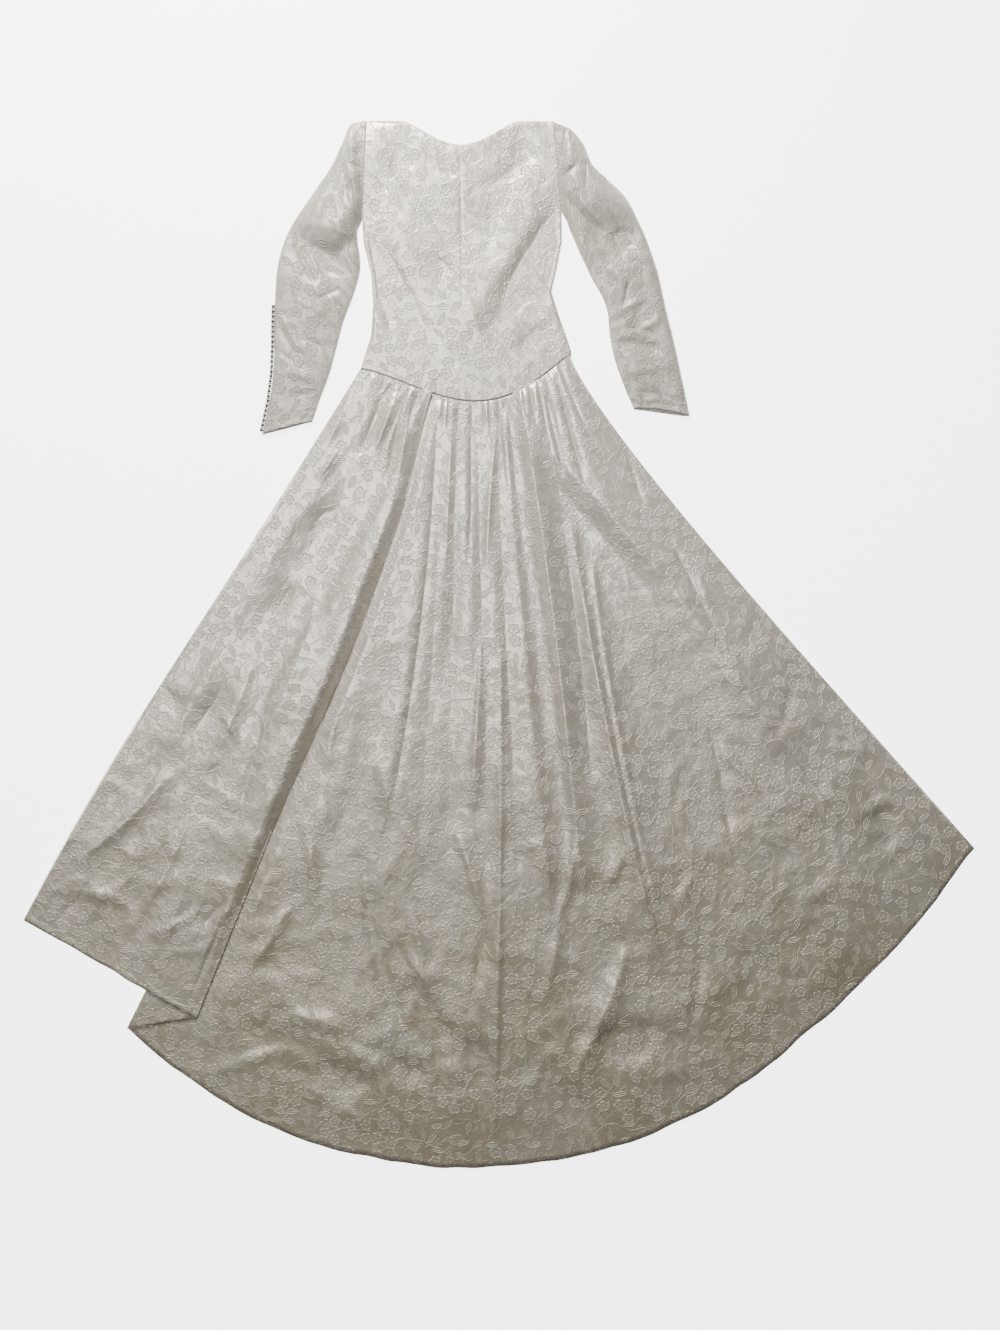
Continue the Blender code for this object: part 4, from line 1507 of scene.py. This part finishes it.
    def build_gore(self) -> bpy.types.Object:
        """Build the left layer with its fold.

        Returns:
            The piece.
        """
        lay, down = self.lay, self.downs(self.gore_grid[1])
        share, place = self.spread(self.left_waist, self.left_hem, self.gore_grid[0])
        hem = mix(np.array(lay.hem_left), np.array(lay.lap_hem), place[:, None])
        hem = self.hem_wave(place * 0.36 + 3.0, hem, np.sin(math.pi * place))
        top = self.surface(Layer.TOP, share, hem, down)
        points = np.concatenate((top, self.lap_points(down)), axis=1)
        return sheet_object("skirt_left_fold", points, self.cloth_uv(points, 0.52, (-3.0, 4.0)))

    def build_front(self) -> bpy.types.Object:
        """Build the flat, hidden front.

        Returns:
            The piece.
        """
        lay = self.lay
        across, down = np.meshgrid(np.linspace(0, 1, 97), np.linspace(1, 0, 61))
        x = mix(*lay.front_sides(), across)
        hem = np.stack((x, lay.front_hem(x)), axis=-1)
        plan = mix(lay.waist(across), hem, down[..., None])
        plan[..., 0] += lay.side_bow(down, (1 - across) ** 4, across**4)
        plan[..., 1] -= lay.waist_tuck * (1 - down)
        points = with_height(plan, np.full(down.shape, lay.rest))
        return sheet_object("skirt_front_panel", points, self.cloth_uv(points, 0.0, (6.0, 1.0)))

    def build(self, look: bpy.types.Material) -> None:
        """Build and dress the three sheets.

        Args:
            look: Their material.
        """
        train, gore, front = self.build_train(), self.build_gore(), self.build_front()
        finish(train, look, ["skirt_back"])
        finish(gore, look, ["skirt_back"])
        finish(front, look, ["skirt_front"])


# The bodice


@dataclass
class Bodice:
    """Back and front of the bodice.

    Attributes:
        lay: Plan of the dress.
        shoulder_lift: Height of the padded shoulder.
        arm_start: Share of the armhole's arch that is left off at the shoulder seam.
        arm_end: Share of the way down where the armhole ends.
        air: Air under the back.
        neck_air: Further air under it, away from the neck's edge.
        body_lift: Share of the padded shoulder that reaches the middle of the back.
        shoulders: Plan of the armholes' upper ends.
        neck: X of the neck's ends.
        neck_dip: Depth of the back's neck.
        front_dip: Depth of the front's neck.
        tuck: How far the back's edge laps the skirt.
        seam_high: Height of the back's edge over the skirt's.
        seam_crest: Place of a small crest along that edge, as a share of the waist, and its height and width.
        side_down: Shares of the way down of the sides' marks.
        left_side: Plan of the left side's marks.
        right_side: Plan of the right side's marks.
    """

    lay: Lay
    shoulder_lift: float = 0.009
    arm_start: float = 0.19
    arm_end: float = 0.40
    air: float = 0.0045
    neck_air: float = 0.0012
    body_lift: float = 0.30
    shoulders: tuple[Pair, Pair] = ((-0.239, 0.941), (0.099, 0.940))
    neck: Pair = (-0.178, 0.038)
    neck_dip: float = 0.043
    front_dip: float = 0.085
    tuck: float = 0.0026
    seam_high: float = 0.0014
    seam_crest: tuple[float, float, float] = (0.322, 0.0012, 0.024)
    side_down: tuple[float, ...] = (0.0, 0.40, 0.52, 0.64, 0.76, 0.88, 1.0)
    left_side: tuple[Pair, ...] = (
        (-0.239, 0.941), (-0.246, 0.765), (-0.243, 0.722), (-0.230, 0.670),
        (-0.226, 0.612), (-0.230, 0.556), (-0.248, 0.499),
    )
    right_side: tuple[Pair, ...] = (
        (0.099, 0.940), (0.112, 0.779), (0.113, 0.727), (0.104, 0.680),
        (0.094, 0.636), (0.110, 0.585), (0.130, 0.529),
    )

    def side(self, down: Array, places: Sequence[Pair]) -> Array:
        """Plan of one side at shares of the way down."""
        table = np.array(places)
        return np.stack([np.interp(down, self.side_down, table[:, axis]) for axis in (0, 1)], axis=-1)

    def plan(self, across: Array, down: Array, dip: float) -> Array:
        """Plan of a panel between its neck, sides and waist.

        Args:
            across: Shares of the way from left to right.
            down: Shares of the way from the neck to the waist.
            dip: Depth of the neck.

        Returns:
            Rows by columns by two.
        """
        lay = self.lay
        chord = mix(*np.array(self.shoulders), across[..., None])
        share = np.clip((chord[..., 0] - self.neck[0]) / (self.neck[1] - self.neck[0]), 0.0, 1.0)
        top = chord.copy()
        top[..., 1] -= dip * np.sin(math.pi * share) ** 1.5
        edges = mix(top, lay.waist(across), down[..., None])
        edges += mix(self.side(down, self.left_side), self.side(down, self.right_side), across[..., None])
        waist_chord = mix(np.array(lay.waist_left), np.array(lay.waist_right), across[..., None])
        return edges - mix(chord, waist_chord, down[..., None])

    def armhole(self, share: Array) -> Array:
        """Height of the cloth down the armhole."""
        place = mix(self.arm_start, 1.0, np.clip(share, 0, 1))
        return self.lay.lowest + self.shoulder_lift * np.sin(math.pi * place)

    def height(self, across: Array, down: Array, plan: Array) -> Array:
        """Height of the back's under surface.

        Args:
            across: Shares of the way from left to right.
            down: Shares of the way from the neck to the waist.
            plan: Points in plan.

        Returns:
            Height at each point.
        """
        lay, x, y = self.lay, plan[..., 0], plan[..., 1]
        side = np.minimum(across, 1 - across)
        arm = np.where(down < self.arm_end, self.armhole(down / self.arm_end), lay.lowest)
        at_seams = ease(0.14, 0.24, np.abs(across - 0.5) - 0.10)
        neck = mix(1.0, 0.45 + 0.55 * quarter_round(down / 0.018), at_seams)
        padding = self.shoulder_lift * self.body_lift * (1 - ease(0.10, 0.45, down))
        body = lay.lowest + (self.air * (1 - 0.3 * down) + self.neck_air + padding) * neck
        soft = 0.0012 * perlin(x / 0.075, y / 0.10, 31) + 0.0006 * perlin(x / 0.030, y / 0.035, 32)
        soft = soft + 0.0009 * ridges(x / 0.11 + 0.4 * y / 0.11, y / 0.15, 33)
        inside = ease(0.0, 0.030, side) * ease(0.0, 0.03, down)
        body = body + (soft + crease_height(BODICE_CREASES, plan)) * inside
        below = ease(0.36, 0.44, down)
        inwards = np.clip(side / mix(0.17, 0.035, below), 0.0, 1.0)
        height = mix(arm, body, mix(ease(0.0, 1.0, inwards), quarter_round(inwards), below))
        place, high, width = self.seam_crest
        seam = lay.waist_height(across) + self.seam_high + high * bell(across - place, width)
        return np.maximum(mix(height, seam, ease(0.86, 0.995, down)), lay.lowest)

    def build(self, look: bpy.types.Material) -> None:
        """Build the back, whose edge laps the skirt, and the plain front.

        Args:
            look: Their material.
        """
        across, down = np.meshgrid(np.linspace(0, 1, 171), np.linspace(1, 0, 201))
        plan = self.plan(across, down, self.neck_dip)
        height = self.height(across, down, plan)
        plan[..., 1] -= self.tuck * ease(0.97, 1.0, down)
        back = sheet_object("bodice_back_panel", with_height(plan, height), plan + 8.0)
        across, down = np.meshgrid(np.linspace(0, 1, 61), np.linspace(1, 0, 61))
        plan = self.plan(across, down, self.front_dip)
        points = with_height(plan, np.full(down.shape, self.lay.rest))
        front = sheet_object("bodice_front_panel", points, plan + 11.0)
        finish(back, look, ["bodice_back"])
        finish(front, look, ["bodice_front"])


# The sleeves


@dataclass
class Sleeve:
    """One long sleeve, a flattened tube from the armhole to the wrist.

    Attributes:
        side: Its side.
        sections: Outer x and y, inner x and y, and height of each section.
        creases: Creases of its upper cloth.
        bodice: The bodice that it is sewn to.
        propped: Whether its outer edge rests on its buttons.
        cuff_step: How far the upper cloth stops short of the lower one at the wrist.
        low: Height of the lower cloth.
        shut: Height of the upper cloth over the lower one at the edges.
        inset: How far the cloth stays inside the outline.
        outer_inset: The same at an outer edge that isn't propped.
        prop_high: Height that the buttons give the outer edge.
        least_crown: Least height of the crown between the edges.
        over_arm: Height of the sleeve over the armhole's cloth.
        cuff_groove: Depth of the groove over the cuff's hem, its height over the hem and its width.
        cloth_start: Where its pattern starts.
        columns: Columns of the lower and of the upper cloth.
        rows: Number of rows.
    """

    side: Side
    sections: tuple[tuple[float, ...], ...]
    creases: tuple[Crease, ...]
    bodice: Bodice
    propped: bool
    cuff_step: float
    low: float = 0.0014
    shut: float = 0.0012
    inset: float = 0.0026
    outer_inset: float = 0.0009
    prop_high: float = 0.0053
    least_crown: float = 0.001
    over_arm: float = 0.0003
    cuff_groove: tuple[float, float, float] = (0.0008, 0.012, 0.003)
    cloth_start: float = 14.0
    columns: tuple[int, int] = (24, 84)
    rows: int = 170

    def edges(self) -> tuple[Array, Array, Array]:
        """Edges of the tube, in straight lines as far as the first section and smooth from there.

        Returns:
            Plan of the outer and of the inner edge, and the tube's height, for each row.
        """
        table = np.array(self.sections)
        along = np.linspace(0.0, 1.0, self.rows) * (len(table) - 1)
        ring = np.where(along[:, None] < 1.0, straight_table(table, along), smooth_table(table, along))
        outer, inner = ring[:, 0:2], ring[:, 2:4]
        inwards = (inner - outer) / np.hypot(*(inner - outer).T)[:, None]
        outer_inset = self.inset if self.propped else self.outer_inset
        return outer + inwards * outer_inset, inner - inwards * self.inset, ring[:, 4]

    def columns_round(self) -> tuple[Array, Array]:
        """Columns round the tube: the lower cloth from the inner edge, then back over the upper cloth.

        Returns:
            Share of the way from the outer to the inner edge, and whether the upper cloth holds the column.
        """
        under, over = self.columns
        lower, upper = np.linspace(1.0, 0.0, under, endpoint=False), np.linspace(0.0, 1.0, over)
        share = np.concatenate((lower, upper, [1.0]))
        return share, np.arange(len(share)) >= under

    def heights(self, plan: Array, share: Array, length: Array, high: Array) -> tuple[Array, Array]:
        """Heights of the tube's cloth.

        Args:
            plan: Points in plan, rows by columns by two.
            share: Share of the way from the outer to the inner edge, for each column.
            length: Distance from the armhole, for each row.
            high: Height of the tube, for each row.

        Returns:
            Height of the upper and of the lower cloth.
        """
        x, y = plan[..., 0], plan[..., 1]
        closed, from_cuff = self.low + self.shut, length[-1] - length
        prop = (self.prop_high * (1 - ease(0.28, 0.36, from_cuff)) * self.propped)[:, None]
        soft = 0.0012 * perlin(x / 0.045, y / 0.050, 41) + 0.0016 * ridges(x / 0.08, y / 0.05, 42)
        tall = (high - closed)[:, None] + soft + crease_height(self.creases, plan)
        crown = np.sin(math.pi * share**0.9) ** 0.62
        upper = closed + prop * (1 - ease(0.0, 0.45, share)) + crown * np.maximum(tall, self.least_crown)
        arm = np.maximum(self.bodice.armhole(share) + self.over_arm, closed)
        upper = mix(upper, arm, (1 - ease(0.0, 0.022, length))[:, None])
        depth, place, width = self.cuff_groove
        groove = depth * bell(from_cuff - place, width)[:, None]
        return upper - groove, self.low + prop * (1 - ease(0.04, 0.10, share))

    def build(self, look: bpy.types.Material) -> None:
        """Build the tube, whose upper cloth stops short of the lower one at the wrist.

        Args:
            look: Its material.
        """
        outer, inner, high = self.edges()
        share, upper = self.columns_round()
        middle = outer * 0.5 + inner * 0.5
        length = np.concatenate(([0.0], np.cumsum(np.hypot(*np.diff(middle, axis=0).T))))
        plan = outer[:, None, :] + (inner - outer)[:, None, :] * share[None, :, None]
        above, below = self.heights(plan, share, length, high)
        run = np.gradient(middle, axis=0)
        run = run / np.hypot(*run.T)[:, None]
        rim = np.where(upper, np.sin(math.pi * share) ** 0.5, 0.0)
        pull = self.cuff_step * ease(0.93, 1.0, length / length[-1])[:, None] * rim
        points = with_height(plan - run[:, None, :] * pull[..., None], np.where(upper, above, below))
        points[:, 0] = points[:, -1] = (points[:, 0] + points[:, -1]) / 2
        around = np.where(upper, share, -share) * np.hypot(*(inner - outer).T)[:, None]
        uv = np.stack((around + self.cloth_start, np.broadcast_to(-length[:, None], around.shape)), axis=-1)
        if self.side is Side.RIGHT:
            points, uv = points[:, ::-1], uv[:, ::-1]
        made = sheet_object(f"sleeve_{self.side.value}_tube", points[::-1], uv[::-1], closed=True)
        finish(made, look, [f"sleeve_{self.side.value}"])

LEFT_SECTIONS = (
    (-0.239, 0.941, -0.246, 0.765, 0.0110),
    (-0.265, 0.938, -0.255, 0.742, 0.0185),
    (-0.283, 0.900, -0.254, 0.717, 0.0190),
    (-0.304, 0.857, -0.250, 0.694, 0.0185),
    (-0.338, 0.808, -0.249, 0.673, 0.0185),
    (-0.369, 0.761, -0.253, 0.653, 0.0095),
    (-0.389, 0.718, -0.259, 0.632, 0.0080),
    (-0.400, 0.671, -0.268, 0.608, 0.0120),
    (-0.403, 0.621, -0.279, 0.578, 0.0100),
    (-0.4045, 0.567, -0.290, 0.536, 0.0080),
    (-0.4045, 0.509, -0.302, 0.491, 0.0090),
    (-0.4105, 0.450, -0.319, 0.445, 0.0060),
    (-0.426, 0.378, -0.334, 0.402, 0.0050),
)

RIGHT_SECTIONS = (
    (0.099, 0.940, 0.112, 0.779, 0.0110),
    (0.126, 0.932, 0.121, 0.763, 0.0195),
    (0.151, 0.904, 0.128, 0.743, 0.0195),
    (0.167, 0.868, 0.137, 0.722, 0.0190),
    (0.193, 0.842, 0.146, 0.700, 0.0190),
    (0.229, 0.806, 0.157, 0.677, 0.0145),
    (0.250, 0.765, 0.169, 0.652, 0.0080),
    (0.268, 0.724, 0.184, 0.626, 0.0130),
    (0.286, 0.671, 0.194, 0.596, 0.0110),
    (0.302, 0.601, 0.198, 0.553, 0.0090),
    (0.319, 0.531, 0.207, 0.511, 0.0100),
    (0.333, 0.464, 0.223, 0.466, 0.0065),
    (0.344, 0.410, 0.241, 0.424, 0.0052),
)


# The buttons


@dataclass
class ButtonRow:
    """Covered buttons of one sleeve, with the loops between them.

    Attributes:
        side: The sleeve's side.
        radius: Radius of a button.
        high: Its height.
        count: Number of buttons.
        foot: Share of the radius at its foot.
        loop: Radius of a loop's thread.
        loop_lift: Height of the loops over the buttons' middles.
        loop_reach: Distances from the row to the marks along a loop, towards the sleeve.
    """

    side: Side
    radius: float = 0.0033
    high: float = 0.0046
    count: int = 26
    foot: float = 0.72
    loop: float = 0.0010
    loop_lift: float = 0.0010
    loop_reach: tuple[float, ...] = (-0.0032, -0.0014, 0.0004, 0.0024, 0.0046)

    def nodes(self) -> list[str]:
        """Names of the buttons' nodes."""
        return [f"button_{self.side.value}_{number:02d}" for number in range(1, self.count + 1)]

    def build_domes(self, centres: Sequence[Vector]) -> bpy.types.Object:
        """Build the row of domes.

        Args:
            centres: Middle of each button.

        Returns:
            The row, as one piece.
        """
        domes = bmesh.new()
        for centre in centres:
            made = bmesh.ops.create_uvsphere(domes, u_segments=18, v_segments=10, radius=1.0)["verts"]
            for vertex in made:
                x, y, z = vertex.co
                waist = mix(1.0, self.foot, min((-0.25 - z) / 0.5, 1.0)) if z <= -0.25 else 1.0
                across = waist * self.radius
                vertex.co = centre + Vector((x * across, y * across, z * self.high / 2))
        return self.object_from(domes, f"buttons_{self.side.value}")

    def build_loops(self, centres: Sequence[Vector]) -> bpy.types.Object:
        """Build a loop between each two buttons, from the row into the sleeve's seam.

        Args:
            centres: Middle of each button.

        Returns:
            The loops, as one piece.
        """
        loops = bmesh.new()
        inward = 1.0 if self.side is Side.LEFT else -1.0
        for lower, upper in zip(centres, centres[1:]):
            along = (upper - lower).normalized()
            across = Vector((-along.y, along.x, 0.0))
            if across.x * inward < 0:
                across = -across
            middle = (lower + upper) / 2 + Vector((0.0, 0.0, self.loop_lift))
            self.cord(loops, [middle + across * reach for reach in self.loop_reach])
        return self.object_from(loops, f"button_loops_{self.side.value}")

    def cord(self, shape: bmesh.types.BMesh, path: Sequence[Vector]) -> None:
        """Add a short round cord with closed ends.

        Args:
            shape: Mesh that it is added to.
            path: Marks along it.
        """
        for start, end in zip(path, path[1:]):
            run = end - start
            turn = run.to_track_quat("Z", "Y").to_matrix().to_4x4()
            turn.translation = (start + end) / 2
            bmesh.ops.create_cone(
                shape, cap_ends=True, segments=8, radius1=self.loop, radius2=self.loop,
                depth=run.length * 1.02, matrix=turn,
            )

    @staticmethod
    def object_from(shape: bmesh.types.BMesh, name: str) -> bpy.types.Object:
        """Turn a shape into a piece.

        Args:
            shape: The shape, which is freed.
            name: Name of the piece.

        Returns:
            The piece.
        """
        mesh = bpy.data.meshes.new(name)
        shape.to_mesh(mesh)
        shape.free()
        return linked(name, mesh)

    def build(self, look: bpy.types.Material, loop_look: bpy.types.Material) -> None:
        """Build the row of buttons and the loops.

        Args:
            look: Material of the buttons.
            loop_look: Material of the loops.
        """
        names = self.nodes()
        boxes = [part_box(name) for name in names]
        centres = [(low + high) / 2 for low, high in boxes]
        finish(self.build_domes(centres), look, names)
        finish(self.build_loops(centres), loop_look, [])


# The studio


@dataclass(frozen=True)
class Lamp:
    """One square area light.

    Attributes:
        name: Its name.
        place: Where it hangs.
        aim: Where it points.
        size: Side of its square.
        power: Its power in watts.
        colour: Its colour.
    """

    name: str
    place: tuple[float, float, float]
    aim: tuple[float, float, float]
    size: float
    power: float
    colour: Colour

    def build(self) -> None:
        """Hang the light."""
        data = bpy.data.lights.new(self.name, "AREA")
        data.size = self.size
        data.energy = self.power
        data.color = self.colour
        made = bpy.data.objects.new(self.name, data)
        made.location = self.place
        made.rotation_euler = (Vector(self.aim) - Vector(self.place)).to_track_quat("-Z", "Y").to_euler()
        made.visible_camera = False
        bpy.context.scene.collection.objects.link(made)


@dataclass(frozen=True)
class Studio:
    """Floor, light and camera.

    Attributes:
        centre: Plan of the picture's middle.
        tall: Height of the floor that the picture covers.
        distance: Height of the camera.
        sensor: Height of the camera's sensor, in its own millimetres.
        floor_half: Half the side of the floor.
        floor_drop: How far the floor lies under the dress.
        glow: Strength of the soft light from all round.
        lamps: The lights.
    """

    centre: Pair = (0.0018, -0.036)
    tall: float = 2.394
    distance: float = 3.2
    sensor: float = 24.0
    floor_half: float = 8.0
    floor_drop: float = 0.0006
    glow: float = 0.07
    lamps: tuple[Lamp, ...] = (
        Lamp("key", (-0.55, 2.03, 1.30), (-0.10, 0.20, 0.0), 0.7, 92.0, (1.0, 0.985, 0.95)),
        Lamp("window", (-0.95, 0.80, 3.3), (-0.25, 0.40, 0.0), 2.1, 80.0, (0.985, 0.985, 1.0)),
    )

    def build_floor(self) -> None:
        """Build the floor."""
        shape = bmesh.new()
        bmesh.ops.create_grid(shape, x_segments=1, y_segments=1, size=self.floor_half)
        mesh = bpy.data.meshes.new("floor")
        shape.to_mesh(mesh)
        shape.free()
        mesh.transform(Matrix.Translation((0.0, 0.0, -self.floor_drop)))
        mesh.materials.append(PaleFloor().make("pale floor"))
        floor = bpy.data.objects.new("floor", mesh)
        bpy.context.scene.collection.objects.link(floor)

    def build_world(self) -> None:
        """Build the soft light from all round."""
        world = bpy.data.worlds.new("studio")
        world.use_nodes = True
        background = world.node_tree.nodes["Background"]
        background.inputs["Color"].default_value = (1.0, 1.0, 1.0, 1.0)
        background.inputs["Strength"].default_value = self.glow
        bpy.context.scene.world = world

    def build_camera(self) -> None:
        """Hang the camera over the dress, straight down."""
        data = bpy.data.cameras.new("camera")
        data.sensor_fit = "VERTICAL"
        data.sensor_height = self.sensor
        data.lens = self.sensor * self.distance / self.tall
        camera = bpy.data.objects.new("camera", data)
        camera.location = (*self.centre, self.distance)
        bpy.context.scene.collection.objects.link(camera)
        bpy.context.scene.camera = camera

    def build(self) -> None:
        """Build the floor, the lights and the camera."""
        self.build_floor()
        for lamp in self.lamps:
            lamp.build()
        self.build_world()
        self.build_camera()
        LOG.info("studio: floor, %d lights and camera", len(self.lamps))


def main() -> None:
    """Build each piece of the dress, then the studio."""
    brocade = Brocade().make("ivory brocade")
    # Painted shade: the buttons' satin is ivory, and is painted near black here to stand for the shade round the
    # row.
    satin = CoveredSatin().make("covered button satin, painted dark as shade")
    # The loops are real, but near black and thick so that they also stand for the painted shadow between the
    # buttons.
    thread = CoveredSatin((0.09, 0.086, 0.078), (0.06, 0.056, 0.050)).make("loop thread, painted dark as shade")
    # Painted shade: the sleeves are the same ivory brocade, with a darker ground and figure so that they look
    # shaded beside the bodice.
    duller = Brocade(ground=(0.435, 0.410, 0.355), shaded=(0.250, 0.233, 0.200), gloss=0.20, rough=0.42)
    shaded_sleeve_look = duller.make("ivory brocade of the sleeves, painted darker as shade")
    lay = Lay()
    bodice = Bodice(lay)
    Skirt(lay).build(brocade)
    bodice.build(brocade)
    Sleeve(Side.LEFT, LEFT_SECTIONS, LEFT_SLEEVE_CREASES, bodice, False, 0.003).build(shaded_sleeve_look)
    Sleeve(Side.RIGHT, RIGHT_SECTIONS, RIGHT_SLEEVE_CREASES, bodice, True, 0.007).build(shaded_sleeve_look)
    for side in Side:
        ButtonRow(side).build(satin, thread)
    Studio().build()


if __name__ == "__main__":
    main()
